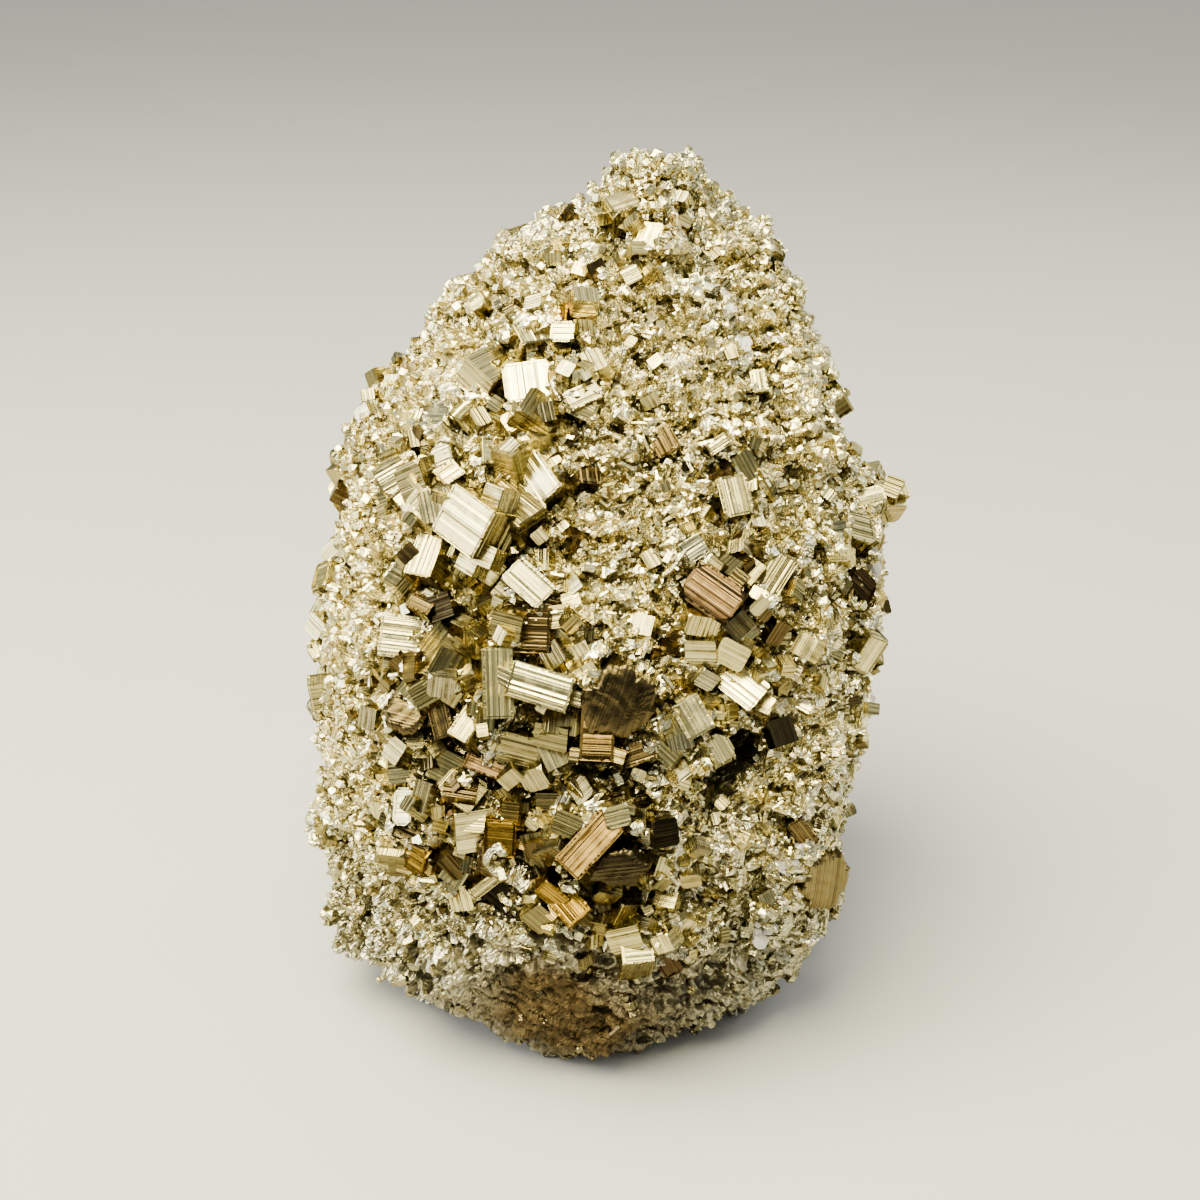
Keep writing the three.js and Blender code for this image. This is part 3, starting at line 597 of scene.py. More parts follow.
def spreadCube(number):
    # the even spread: size and pose vary by sines of the cube's number
    height = 6 + 148 * (number + 0.5) / largeCubes["spreadCount"]
    names = ["cream", "khaki", "pale", "brown", "cream", "khaki", "cream", "bronze", "pale"]
    return (
        (number * 137.508) % 360, height, 2,
        5.2 + 1.4 * math.sin(number * 2.3), 4.6 + 1.3 * math.sin(number * 3.7 + 1), 7,
        28 * math.sin(number * 1.9), 0.35 * height - 12 + 22 * math.sin(number * 2.9 + 2),
        90 * math.sin(number * 4.1), 0, names[number * 5 % len(names)],
    )


spreadRows = [spreadCube(number) for number in range(largeCubes["spreadCount"])]
allCubes = cubeRows + [row for row in spreadRows if math.sin(math.radians(row[0])) > -0.35]


def cubeFrames(rows):
    # middle, axes and half sizes of every larger cube, as arrays
    values = np.array([row[:10] for row in rows], dtype=float)
    degrees, height, standOut, length, width, depth, turn, slope, roll, cut = values.T
    face = massPoint(degrees, height) + massNormal(degrees, height) * standOut[:, None]
    along, across, out = faceAxes(degrees + 90 + turn, slope, roll)
    middle = face - out * depth[:, None] / 2
    halves = np.stack([length, width, depth], axis=1) / 2
    return middle, np.stack([along, across, out], axis=1), halves, cut * np.minimum(length, width)


cubeMiddle, cubeAxes, cubeHalves, cubeCut = cubeFrames(allCubes)
cubeTints = np.array([tarnishLinear[row[10]] for row in allCubes])

boxCorners = 2.0 * np.array(list(np.ndindex(2, 2, 2))) - 1


def cubeFaces(points, cornerReach=None):
    # the six faces of a unit cube, each a ring of the points on it in order of angle, and
    # for cut corners a triangle of the points whose sum towards the corner passes its reach
    sides, cuts = [], []
    for axis in range(3):
        for side in (-1, 1):
            found = np.where(points[:, axis] * side > 0.99)[0]
            first, second = points[found, (axis + 1) % 3], side * points[found, (axis + 2) % 3]
            sides.append(found[np.argsort(np.arctan2(second, first))])
    for corner in boxCorners if cornerReach else ():
        found = np.where(points @ corner > cornerReach)[0]
        a, b, c = points[found]
        cuts.append(found if np.cross(b - a, c - a) @ corner > 0 else found[::-1])
    return [np.array(faces) for faces in (sides, cuts) if faces]


# a box with its eight corners cut: a point is its corner times the half size, less the cut
# along one axis
cutCorners = np.repeat(boxCorners, 3, axis=0)
cutMasks = np.tile(np.eye(3), (8, 1)) * cutCorners
cutSets = cubeFaces(cutCorners - 0.3 * cutMasks, 2.5)


def placeAll(local, axes, middle, faceSets):
    # each crystal's own points turned to its axes and put in place, its faces numbered on
    points = (local[..., None] * axes[:, None, :, :]).sum(axis=2) + middle[:, None, :]
    start = (np.arange(len(local)) * local.shape[1])[:, None, None]
    sets = [(faces[None] + start).reshape(-1, faces.shape[1]) for faces in faceSets]
    return points.reshape(-1, 3), sets


def cutBoxes(middle, axes, halves, cut):
    # boxes with cut corners at each crystal's size; also their points before placing
    local = cutCorners[None] * halves[:, None, :] - cut[:, None, None] * cutMasks[None]
    return (*placeAll(local, axes, middle, cutSets), local)


def stripedPlate(length, width, cut, rng):
    # a rectangle of four points carried across the striations: its top edge rises and
    # falls from one striation to the next, and it is shorter where the corners are cut
    c = largeCubes
    count = max(6, int(width / c["stripe"]))
    widths = rng.gamma(2.0, 1.0, count)
    stations = width * (np.concatenate([[0], np.cumsum(widths)]) / widths.sum() - 0.5)
    corner = max(cut, 0.12)
    stations = np.sort(np.concatenate([stations, [corner - width / 2, width / 2 - corner]]))
    number = len(stations)
    groove = c["stripeDepth"] * rng.uniform(0.25, 1.6, number) * (np.arange(number) % 2)
    wander = np.cumsum(rng.normal(0, c["terrace"], number))
    wander = np.clip(wander - wander.max(), -c["wanderMost"], 0)
    top = wander - groove
    half = length / 2 - np.maximum(0, corner - (width / 2 - np.abs(stations)))
    half = half - c["chip"] * rng.random(number)**3
    bottom = np.full(number, -c["shell"])
    u = np.stack([-half, half, half, -half], axis=1)
    w = np.stack([top, top, bottom, bottom], axis=1)
    v = np.repeat(stations[:, None], 4, axis=1)
    points = np.stack([u, v, w], axis=-1).reshape(-1, 3)
    ring = np.arange(4)
    step = 4 * np.arange(number - 1)[:, None]
    a, b = step + ring, step + (ring + 1) % 4
    quads = np.stack([a, b, b + 4, a + 4], axis=-1).reshape(-1, 4)
    ends = np.array([[3, 2, 1, 0], [0, 1, 2, 3]]) + np.array([[0], [4 * (number - 1)]])
    return points, np.concatenate([quads, ends])


def striatedCubes():
    # each cube is a plain core with a striated plate on five faces, and the striations
    # of neighbouring faces run square to each other
    c = largeCubes
    upright, lookingUp = c["sideShades"]
    rng = np.random.default_rng(c["seed"])
    points, quads, uvs, tints, bands = [], [], [], [], []
    used = 0
    for number, row in enumerate(allCubes):
        along, across, out = cubeAxes[number]
        halfLength, halfWidth, halfDepth = cubeHalves[number]
        faces = [
            (along, across, out, halfLength, halfWidth, halfDepth),
            (across, out, along, halfWidth, halfDepth, halfLength),
            (across, -out, -along, halfWidth, halfDepth, halfLength),
            (out, along, across, halfDepth, halfLength, halfWidth),
            (out, -along, -across, halfDepth, halfLength, halfWidth),
        ]
        # painted shade: darker towards the resting face
        tint = cubeTints[number] * min(1, c["footShade"] + row[1] / c["fullHeight"])
        for side, (first, second, third, halfFirst, halfSecond, halfThird) in enumerate(faces):
            local, plateQuads = stripedPlate(2 * halfFirst, 2 * halfSecond, cubeCut[number], rng)
            place = cubeMiddle[number] + third * halfThird
            points.append(place + local @ np.stack([first, second, third]))
            quads.append(plateQuads + used)
            shift = np.array([number * 13.7 + side * 3.1, number * 7.9 + side * 5.3])
            uvs.append((local[:, :2] + shift)[plateQuads].reshape(-1, 2))
            # painted shade: side faces darker, less so those that look up
            shade = rng.uniform(0.9, 1.05) * (1 if side == 0 else upright + lookingUp * third[2])
            tints.append(np.tile(tint * shade, (len(local), 1)))
            bands.append(np.full(len(local), banding[row[10]] * (1 if side == 0 else 1.15)))
            used += len(local)
    corePoints, coreSets, coreLocal = cutBoxes(
        cubeMiddle, cubeAxes, cubeHalves - 0.3, np.maximum(cubeCut - 0.2, 0.05))
    points.append(corePoints)
    # the core in painted shade, darker than the plates
    tints.append(np.repeat(cubeTints * c["coreShade"], 24, axis=0))
    bands.append(np.full(len(corePoints), 0.5))
    uvs += [coreLocal.reshape(-1, 3)[faces.ravel(), :2] for faces in coreSets]
    faceSets = [np.concatenate(quads)] + [faces + used for faces in coreSets]
    return addMesh("striated_cubes", np.concatenate(points), faceSets, np.concatenate(uvs),
                   np.concatenate(tints), {"banding": np.concatenate(bands)})


largePiece = striatedCubes()

brokenFaces = {
    # the same columns as the larger cubes
    "rows": [
        (272, 84, 3.8, 13.5, 11.5, 7, -5, 16, 70, 0, "darkBreak"),  # beside the brightest slab
        (273, 57, 4.2, 10, 7.2, 7, -10, 15, 10, 0, "umber"),  # end of the long bronze block
        (319, 43, 3.8, 12.8, 10, 7, -20, 0, 85, 0, "oldBreak"),  # smooth face on the right rim
        (236, 78, 3, 8, 6.4, 7, 25, 40, -10, 0, "darkBreak"),  # dark lump left of the belly
        (104, 82, 3.5, 11, 9, 7, 10, 20, 30, 0, "brown"),  # on the back
    ],
    "corners": 72,
    "rings": 14,
    "ragged": 0.09,  # how far the outline wanders, share of the half size
    "bow": 0.7,  # mm, how far the face curves back at its edge
    "ripple": 0.05,  # mm, height of the shell-like ripples
    "grit": 0.015,  # mm
    "banding": 0.35,  # how strongly their fine lines of painted shade show
    "seed": 61,
}
brokenMiddle, brokenAxes, brokenHalves, _ = cubeFrames(brokenFaces["rows"])


def brokenPiece():
    # shell-like breaks: rings of a wandering outline that grow outwards and bow back,
    # rippled, then one ring straight down into the mass
    c = brokenFaces
    rng = np.random.default_rng(c["seed"])
    ring = np.append(np.arange(1, c["rings"] + 1) / c["rings"], 1.04)[:, None]
    turn = np.arange(c["corners"]) * math.tau / c["corners"]
    waves = np.arange(2, 9)
    points, uvs, tints = [], [], []
    for number, row in enumerate(c["rows"]):
        halfLength, halfWidth, halfDepth = brokenHalves[number]
        phase = rng.uniform(0, math.tau, len(waves))
        size = c["ragged"] * rng.uniform(0.4, 1.4, len(waves))
        reach = (size / np.sqrt(waves) * np.cos(np.outer(turn, waves) + phase)).sum(axis=1)
        reach = 1 + (reach + 0.03 * rng.normal(0, 1, len(turn))) * ring**3
        u, v = halfLength * ring * reach * np.cos(turn), halfWidth * ring * reach * np.sin(turn)
        ripple = c["ripple"] * np.sin(2.6 * np.hypot(u + 4, v - 3) + np.sin(0.9 * u))
        w = halfDepth + ripple - c["bow"] * ring**6 + c["grit"] * ring * rng.normal(0, 1, u.shape)
        w[-1] = -halfDepth
        rings = np.stack([u, v, w], axis=-1).reshape(-1, 3)
        local = np.concatenate([rings, [[0, 0, halfDepth]]])
        points.append(brokenMiddle[number] + local @ brokenAxes[number])
        uvs.append(local[:, :2] + 40 * number)
        tints.append(np.tile(tarnishLinear[row[10]], (len(local), 1)))
    corner = np.arange(c["corners"])
    after = (corner + 1) % c["corners"]
    inner = np.arange(c["rings"])[:, None] * c["corners"]
    outer = inner + c["corners"]
    quads = np.stack([inner + corner, outer + corner, outer + after, inner + after], axis=-1)
    centre = np.full(c["corners"], (c["rings"] + 1) * c["corners"])
    fan = np.stack([centre, corner, after], axis=1)
    start = (np.arange(len(points)) * len(points[0]))[:, None, None]
    faceSets = [(quads.reshape(1, -1, 4) + start).reshape(-1, 4),
                (fan[None] + start).reshape(-1, 3)]
    flatUvs = np.concatenate(uvs)
    corners = np.concatenate([faces.ravel() for faces in faceSets])
    bands = np.full(sum(len(part) for part in points), c["banding"])
    return addMesh("broken_faces", np.concatenate(points), faceSets, flatUvs[corners],
                   np.concatenate(tints), {"banding": bands})


brokenFacePiece = brokenPiece()


def cellAreas():
    # area of each cell of the grid, none on the resting face
    around = np.roll(massPoints, -1, axis=1)[:-1] - massPoints[:-1]
    upward = massPoints[1:] - massPoints[:-1]
    area = np.linalg.norm(np.cross(around, upward), axis=-1)
    return np.where(massHeight[1:] > 0.5, area, 0)


# few grains settle deep in the pockets
openAreas = cellAreas() * (1 - 0.9 * np.clip(massInward[:-1] / 4, 0, 1))


def scatterOnMass(count, weight, rng):
    # random cells picked by area and weight, then a random place inside each: place,
    # normal, angle, height and the painted shade there
    chance = openAreas * weight[:-1]
    cells = rng.choice(chance.size, count, p=chance.ravel() / chance.sum())
    row, column = np.divmod(cells, massPoints.shape[1])
    after = (column + 1) % massPoints.shape[1]
    s, t = rng.random((2, count))

    def blend(grid):
        # the four corners of the cell, weighed by how near the place is to each
        s1, t1 = (s, t) if grid.ndim == 2 else (s[:, None], t[:, None])
        low = grid[row, column] * (1 - s1) + grid[row, after] * s1
        high = grid[row + 1, column] * (1 - s1) + grid[row + 1, after] * s1
        return low * (1 - t1) + high * t1

    degrees = massAngle[row, column] + s * 360 / massPoints.shape[1]
    normal = unit(blend(massNormals))
    return [blend(massPoints), normal, degrees, blend(massHeight), blend(massPaintedShade)]


coverMiddle = np.concatenate([cubeMiddle, brokenMiddle])
coverAxes = np.concatenate([cubeAxes, brokenAxes])
coverHalves = np.concatenate([cubeHalves, brokenHalves])


def clearOfCubes(points, size, margin):
    # true for a crystal that isn't inside a larger cube or broken face, or in front of
    # it; the margin, a share of its size, is how far it keeps off the edge
    clear = np.ones(len(points), dtype=bool)
    for middle, axes, halves in zip(coverMiddle, coverAxes, coverHalves):
        local = (points - middle) @ axes.T
        beside = np.abs(local[:, :2]) < halves[:2] + margin * size[:, None]
        behindFace = (local[:, 2] > -halves[2]) & (local[:, 2] < halves[2] + 5)
        clear &= ~(beside.all(axis=1) & behindFace)
    return clear


def strayed(axes, amount, rng):
    # the axes turned a little, each crystal its own way, and squared up again
    first = unit(axes[:, 0] + amount * rng.normal(0, 1, (len(axes), 3)))
    third = unit(np.cross(first, axes[:, 1] + amount * rng.normal(0, 1, (len(axes), 3))))
    return np.stack([first, np.cross(third, first), third], axis=1)


def clumpAxes(places, size, amount, seed, rng):
    # crystals of one clump lie nearly parallel, as twinned crystals grow; also the
    # clump's own brightness
    _, owner = nearestSeed(places, size, seed)
    return strayed(strayTurn(owner), amount, rng), 0.85 + 0.25 * np.modf(owner[:, 0] * 5.7)[0]


def leaningAxes(normals, lean, rng):
    # crystals whose outer face leans from the surface by about the lean
    out = unit(normals + lean * rng.normal(0, 1, normals.shape))
    along = unit(np.cross(out, rng.normal(0, 1, normals.shape)))
    return np.stack([along, np.cross(out, along), out], axis=1)


# powers of the painted shade in red, green and blue, so that places painted dark are less yellow
deepening = np.array([1.0, 0.98, 0.92])


def mixedTints(shares, degrees, height, shade, rng):
    # a tarnish for each crystal, browner on the broken foot, warmer under the belly, times the
    # painted shade
    count = len(degrees)
    palette = np.array([tarnishLinear[name] for name in shares])
    weights = np.array(list(shares.values()), dtype=float)
    chosen = palette[rng.choice(len(shares), count, p=weights / weights.sum())]
    chosen = chosen * rng.uniform(0.9, 1.06, count)[:, None]
    warm = (fieldStrength(warmFields, degrees, height) * rng.uniform(0, 0.65, count))[:, None]
    bronze = tarnishLinear["bronze"] * rng.uniform(0.5, 1.1, (count, 1))
    chosen = chosen * (1 - warm) + warm * bronze
    broken = (fieldStrength(brokenFields, degrees, height) * rng.uniform(0.6, 1.0, count))[:, None]
    chosen = chosen * (1 - broken) + broken * tarnishLinear["freshBreak"]
    return chosen * shade[:, None]**deepening


middleCrystals = {
    "count": 3200,
    "outside": 0.018,  # how densely they stand outside the denser fields
    "smallShare": 2.2,  # the higher, the more of them are small
    "sink": (-0.2, 0.24),  # shares of the size that the middle stands off the mass
    "smallest": 1.6,  # mm
    "spread": 1.3,  # mm, how much larger they grow outside the denser fields
    "fieldSpread": 4.4,  # mm, and how much larger still inside them
    "cut": 0.07,  # corner cut, share of the size
    "clump": 8.0,  # mm, crystals this close lie nearly parallel
    "clumpSeed": 12,
    "stray": 0.3,  # how far they stray from parallel
    "tarnishShares": {"pale": 32, "cream": 30, "khaki": 20, "grey": 9, "brown": 5, "umber": 2,
                      "bronze": 1, "gold": 1},
    "seed": 7,
}


def companionCubes(rng):
    # cubes grown into the sides of each larger one, nearly parallel to it
    c = largeCubes
    wide = np.where(2 * cubeHalves[:, :2].min(axis=1) > c["companionLeast"])[0]
    parents = np.repeat(wide, c["companions"])
    count = len(parents)
    halves, axes = cubeHalves[parents], cubeAxes[parents]
    size = 2 * halves[:, :2].min(axis=1) * rng.uniform(*c["companionSize"], count)
    side = rng.integers(0, 4, count)
    axis, sign = side % 2, np.where(side < 2, 1.0, -1.0)
    shift = np.zeros((count, 3))
    row = np.arange(count)
    shift[row, axis] = sign * (halves[row, axis] + size * rng.uniform(0.0, 0.4, count))
    shift[row, 1 - axis] = halves[row, 1 - axis] * rng.uniform(-0.9, 0.9, count)
    shift[:, 2] = halves[:, 2] - size / 2 - rng.uniform(*c["companionBack"], count)
    middle = cubeMiddle[parents] + (shift[..., None] * axes).sum(axis=1)
    tints = 0.5 * cubeTints[parents]
    tints = tints + 0.5 * tarnishLinear["khaki"] * rng.uniform(0.5, 1.4, count)[:, None]
    return middle, strayed(axes, c["companionStray"], rng), size, tints


def middlePiece():
    # cubes spread thickest in their fields, half sunk in the mass, and the cubes grown into
    # the larger ones
    c = middleCrystals
    rng = np.random.default_rng(c["seed"])
    weight = c["outside"] + fieldStrength(crystalFields, massAngle, massHeight)
    weight = weight * (1 - 0.85 * fieldStrength(brokenFields, massAngle, massHeight))
    spread = scatterOnMass(c["count"], weight, rng)
    inField = fieldStrength(crystalFields, spread[2], spread[3])
    spreadHere = c["spread"] + c["fieldSpread"] * inField
    size = c["smallest"] + spreadHere * rng.random(c["count"])**c["smallShare"]
    clear = clearOfCubes(spread[0], size, 0.15)
    place, normal, degrees, height, shade = [part[clear] for part in spread]
    size = size[clear]
    axes, clumpShade = clumpAxes(place, c["clump"], c["stray"], c["clumpSeed"], rng)
    middle = place + normal * (size * rng.uniform(*c["sink"], len(place)))[:, None]
    # painted shade of the mass, at half strength
    tints = mixedTints(c["tarnishShares"], degrees, height, 0.5 + 0.5 * shade, rng)
    tints = tints * clumpShade[:, None]
    besideMiddle, besideAxes, besideSize, besideTints = companionCubes(rng)
    middle, axes = np.concatenate([middle, besideMiddle]), np.concatenate([axes, besideAxes])
    size, tints = np.concatenate([size, besideSize]), np.concatenate([tints, besideTints])
    count = len(middle)
    halves = size[:, None] / 2 * rng.uniform(0.75, 1.15, (count, 3))
    cut = np.minimum(size * c["cut"] * rng.uniform(0.3, 2.4, count), 0.8 * halves.min(axis=1))
    points, faceSets, local = cutBoxes(middle, axes, halves, cut)
    # striations on the three pairs of faces run along, across and out in turn
    runs = [[1, 2], [1, 2], [2, 0], [2, 0], [0, 1], [0, 1]]
    eights, threes = cutSets
    shifted = local + rng.uniform(0, 500, (count, 1, 3))
    eightUvs = np.stack([shifted[:, face][..., run] for face, run in zip(eights, runs)], axis=1)
    threeUvs = shifted[:, threes][..., :2]
    uvs = np.concatenate([eightUvs.reshape(-1, 2), threeUvs.reshape(-1, 2)])
    bands = np.repeat(rng.uniform(0.5, 1.0, count), 24)
    return addMesh("middle_crystals", points, faceSets, uvs, np.repeat(tints, 24, axis=0),
                   {"banding": bands})


middleCubes = middlePiece()

fineGrains = {
    "sugarPieces": 2,
    "sugarEach": 3500,
    "sugarSize": (0.7, 1.8),  # mm
    "sugarSmall": 1.7,  # the higher, the more of them are small
    "sugarGiveWay": 0.4,  # how far they give way to needles and to nodules
    "sugarOffBreak": 0.55,  # and to the broken foot
    "sugarLeast": 0.2,  # least density, share of the most
    "sugarClump": 5.0,  # mm, grains this close lie nearly parallel
    "sugarClumpSeed": 30,
    "sugarStray": 0.42,
    "sugarSink": (-0.4, -0.05),  # shares of the size that the middle stands off the mass
    "needles": 3000,
    "needleSize": (0.35, 0.7, 1.4, 3.0),  # mm: thinnest, thickest, shortest, longest
    "needleStray": 0.04,  # density outside their fields
    "needleSmall": 1.6,
    "needleLean": 0.45,  # how far they lean out of the surface
    "nodules": 9500,
    "noduleSize": (0.9, 2.1),  # mm
    "noduleStray": 0.03,
    "noduleSmall": 1.4,
    "noduleSink": (-0.1, 0.25),
    "tarnishShares": {"sugar": 60, "sugarDeep": 30, "khaki": 6, "brown": 1, "gold": 1},
    "noduleShares": {"sugar": 60, "sugarDeep": 40},
    "seed": 90,
}

blockShape = (boxCorners, cubeFaces(boxCorners))
# a nodule is a cube cut to the middle of its edges
noduleCorners = 1.0 * np.array([p for p in np.ndindex(3, 3, 3) if p.count(1) == 1]) - 1
noduleShape = (noduleCorners, cubeFaces(noduleCorners, 1.9))


def placedGrains(name, shape, halves, axes, middle, tints):
    # the shape at each grain's half sizes, turned and placed, all grains in one mesh
    template, faceSets = shape
    points, sets = placeAll(template[None] * halves[:, None, :], axes, middle, faceSets)
    return addMesh(name, points, sets, None, np.repeat(tints, len(template), axis=0))


def grainSpread(count, weight, sizes, power, rng):
    # grains spread by weight and clear of the larger cubes, with a size for each
    spread = scatterOnMass(count, weight, rng)
    low, high = sizes
    size = low + (high - low) * rng.random(count)**power
    clear = clearOfCubes(spread[0], size, -0.15)
    return [part[clear] for part in spread] + [size[clear]]


def sugarPiece(number):
    # short blocks grown through each other
    c = fineGrains
    rng = np.random.default_rng(c["seed"] + number)
    needle = fieldStrength(needleFields, massAngle, massHeight)
    nodule = fieldStrength(noduleFields, massAngle, massHeight)
    broken = fieldStrength(brokenFields, massAngle, massHeight)
    way = c["sugarGiveWay"]
    weight = (1 - way * needle - way * nodule) * (1 - c["sugarOffBreak"] * broken)
    place, normal, degrees, height, shade, size = grainSpread(
        c["sugarEach"], np.maximum(weight, c["sugarLeast"]), c["sugarSize"], c["sugarSmall"], rng)
    size = size * (1 - 0.35 * fieldStrength(brokenFields, degrees, height))
    count = len(place)
    halves = size[:, None] / 2 * rng.uniform(0.65, 1.3, (count, 3))
    middle = place + normal * (size * rng.uniform(*c["sugarSink"], count))[:, None]
    axes, clumpShade = clumpAxes(
        place, c["sugarClump"], c["sugarStray"], c["sugarClumpSeed"], rng)
    tints = mixedTints(c["tarnishShares"], degrees, height, shade, rng) * clumpShade[:, None]
    return placedGrains(f"sugar_grains_{number + 1}", blockShape, halves, axes, middle, tints)


def needlePiece():
    # thin shards lying nearly along the surface
    c = fineGrains
    rng = np.random.default_rng(c["seed"] + 20)
    weight = c["needleStray"] + fieldStrength(needleFields, massAngle, massHeight)
    thin, thick, short, long = c["needleSize"]
    place, normal, degrees, height, shade, size = grainSpread(
        c["needles"], weight, (short, long), c["needleSmall"], rng)
    count = len(place)
    widths = rng.uniform(thin, thick, (count, 2))
    halves = np.stack([size, widths[:, 0], widths[:, 1]], axis=1) / 2
    middle = place + normal * rng.uniform(0.0, 0.5, count)[:, None]
    tints = mixedTints(c["tarnishShares"], degrees, height, shade, rng)
    axes = leaningAxes(normal, c["needleLean"], rng)
    return placedGrains("needle_grains", blockShape, halves, axes, middle, tints)


def nodulePiece():
    # rounded knots standing a little higher than the grains
    c = fineGrains
    rng = np.random.default_rng(c["seed"] + 40)
    weight = c["noduleStray"] + fieldStrength(noduleFields, massAngle, massHeight)
    place, normal, degrees, height, shade, size = grainSpread(
        c["nodules"], weight, c["noduleSize"], c["noduleSmall"], rng)
    count = len(place)
    halves = size[:, None] / 2 * rng.uniform(0.85, 1.1, (count, 3))
    middle = place + normal * (size * rng.uniform(*c["noduleSink"], count))[:, None]
    tints = mixedTints(c["noduleShares"], degrees, height, shade, rng)
    axes = leaningAxes(normal, 3.0, rng)
    return placedGrains("round_nodules", noduleShape, halves, axes, middle, tints)


grainPieces = [sugarPiece(number) for number in range(fineGrains["sugarPieces"])]
grainPieces += [needlePiece(), nodulePiece()]

quartz = {
    # angle, height, reach in mm of each patch
    "patches": [(348, 93, 5), (344, 76, 6), (341, 66, 5), (312, 48, 5), (309, 33, 4),
                (120, 40, 6), (75, 66, 5), (176, 96, 5)],
    "each": 9,
    "size": (0.9, 2.4),  # mm
    "seed": 5,
}


def quartzPiece():
    # small milky lumps in patches between the crystals, rounded by their cut corners
    c = quartz
    rng = np.random.default_rng(c["seed"])
    patch = np.repeat(np.array(c["patches"], dtype=float), c["each"], axis=0)
    count = len(patch)
    offset = rng.normal(0, 0.42, (count, 2)) * patch[:, 2:]
    degrees, height = patch[:, 0] + np.degrees(offset[:, 0] / 50), patch[:, 1] + offset[:, 1]
    size = c["size"][0] + (c["size"][1] - c["size"][0]) * rng.random(count)
    normal = massNormal(degrees, height)
    middle = massPoint(degrees, height) + normal * rng.uniform(-0.2, 0.9, (count, 1))
    axes = leaningAxes(normal, 3.0, rng)
    halves = size[:, None] / 2 * rng.uniform(0.8, 1.2, (count, 3))
    points, faceSets, _ = cutBoxes(middle, axes, halves, 0.9 * halves.min(axis=1))
    return addMesh("quartz_lumps", points, faceSets)


quartzLumps = quartzPiece()


def massTints():
    # pale brass, browner on the broken foot and in patches, with painted shade in hollows
    # and in the crevices round the larger cubes
    degrees, height = massAngle, massHeight
    broken = np.where(height <= 0, 1, fieldStrength(brokenFields, degrees, height))
    warm = 0.5 * fieldStrength(warmFields, degrees, height)[..., None]
    shade = massPaintedShade * creviceShade(massPoints.reshape(-1, 3)).reshape(massPaintedShade.shape)
    tints = tarnishLinear["skin"] * (1 - warm) + tarnishLinear["bronze"] * warm
    tints = tints * (1 - broken[..., None]) + tarnishLinear["freshBreak"] * broken[..., None]
    return tints * shade[..., None]**deepening, broken


# painted shade in the crevices round the larger cubes
crevices = {
    "below": 1.2,  # mm, how far the shade is shifted down
    "reach": 3.0,  # mm
    "least": 0.62,  # brightness against the cube
    "perMm": 0.16,  # and how much it gains with each mm away
}


def creviceShade(points):
    # painted shade: darker within a few millimetres of a larger cube, most of all below it
    c = crevices
    shade = np.ones(len(points))
    for middle, axes, halves in zip(cubeMiddle, cubeAxes, cubeHalves):
        raisedUp = points + [0, 0, c["below"]] - middle
        close = np.where((raisedUp**2).sum(axis=1) < (np.linalg.norm(halves) + c["reach"])**2)[0]
        outside = np.maximum(np.abs(raisedUp[close] @ axes.T) - halves, 0)
        gap = np.linalg.norm(outside, axis=1)
        shade[close] = np.minimum(shade[close], np.clip(c["least"] + c["perMm"] * gap, 0, 1))
    return shade


def massBands():
    # the skin over the grid in level bands that meet along shared rows, closed at the
    # summit and under the resting face
    rows, columns = massPoints.shape[:2]
    tints, broken = massTints()
    column = np.arange(columns)
    after = (column + 1) % columns
    edges = np.linspace(0, rows - 1, groundMass["bands"] + 1).astype(int)
    pieces = []
    for number, (low, high) in enumerate(zip(edges[:-1], edges[1:])):
        points = massPoints[low:high + 1].reshape(-1, 3)
        colours = tints[low:high + 1].reshape(-1, 3)
        matt = broken[low:high + 1].ravel()
        start = np.arange(high - low)[:, None] * columns
        a, b = start + column, start + after
        faces = [np.stack([a, b, b + columns, a + columns], axis=-1).reshape(-1, 4)]
        middle = np.full(columns, len(points))
        topRing = (high - low) * columns
        closing = {0: ([*sections[0, 3:5], 0], np.stack([middle, after, column], axis=1)),
                   len(edges) - 2: ([*sections[-1, 3:5], groundMass["top"]],
                                    np.stack([middle, topRing + column, topRing + after], axis=1))}
        if number in closing:
            end, fan = closing[number]
            points = np.concatenate([points, [end]])
            colours, matt = np.concatenate([colours, colours[:1]]), np.append(matt, matt[0])
            faces.append(fan)
        pieces.append(addMesh(f"ground_mass_{number + 1}", points, faces, None, colours,
                              {"broken": matt}))
    return pieces


massPieces = massBands()


def addNode(tree, kind, inputs=(), **settings):
    # one node: settings are its own values, and inputs are socket values or (node, socket)
    # links, either by socket or as a list that fills the sockets in order
    node = tree.nodes.new("ShaderNode" + kind)
    for key, value in settings.items():
        setattr(node, key, value)
    for key, value in inputs.items() if isinstance(inputs, dict) else enumerate(inputs):
        if isinstance(value, tuple) and isinstance(value[0], bpy.types.Node):
            tree.links.new(value[0].outputs[value[1]], node.inputs[key])
        else:
            node.inputs[key].default_value = value
    return node


def newMaterial(name):
    # a material with an empty tree, ready for its own nodes
    material = bpy.data.materials.new(name)
    material.use_nodes = True
    material.node_tree.nodes.clear()
    return material, material.node_tree


multiply = {"data_type": "RGBA", "blend_type": "MULTIPLY"}
eased = {"interpolation_type": "SMOOTHSTEP"}
edgeTintAndUnderShade = {
    "edge": "#f8f0d0",  # brass still looks brass where it is seen edge on
    "under": "#8d7a54",  # painted shade, multiplied into faces that look down
    "underShadeShare": 0.65,
}


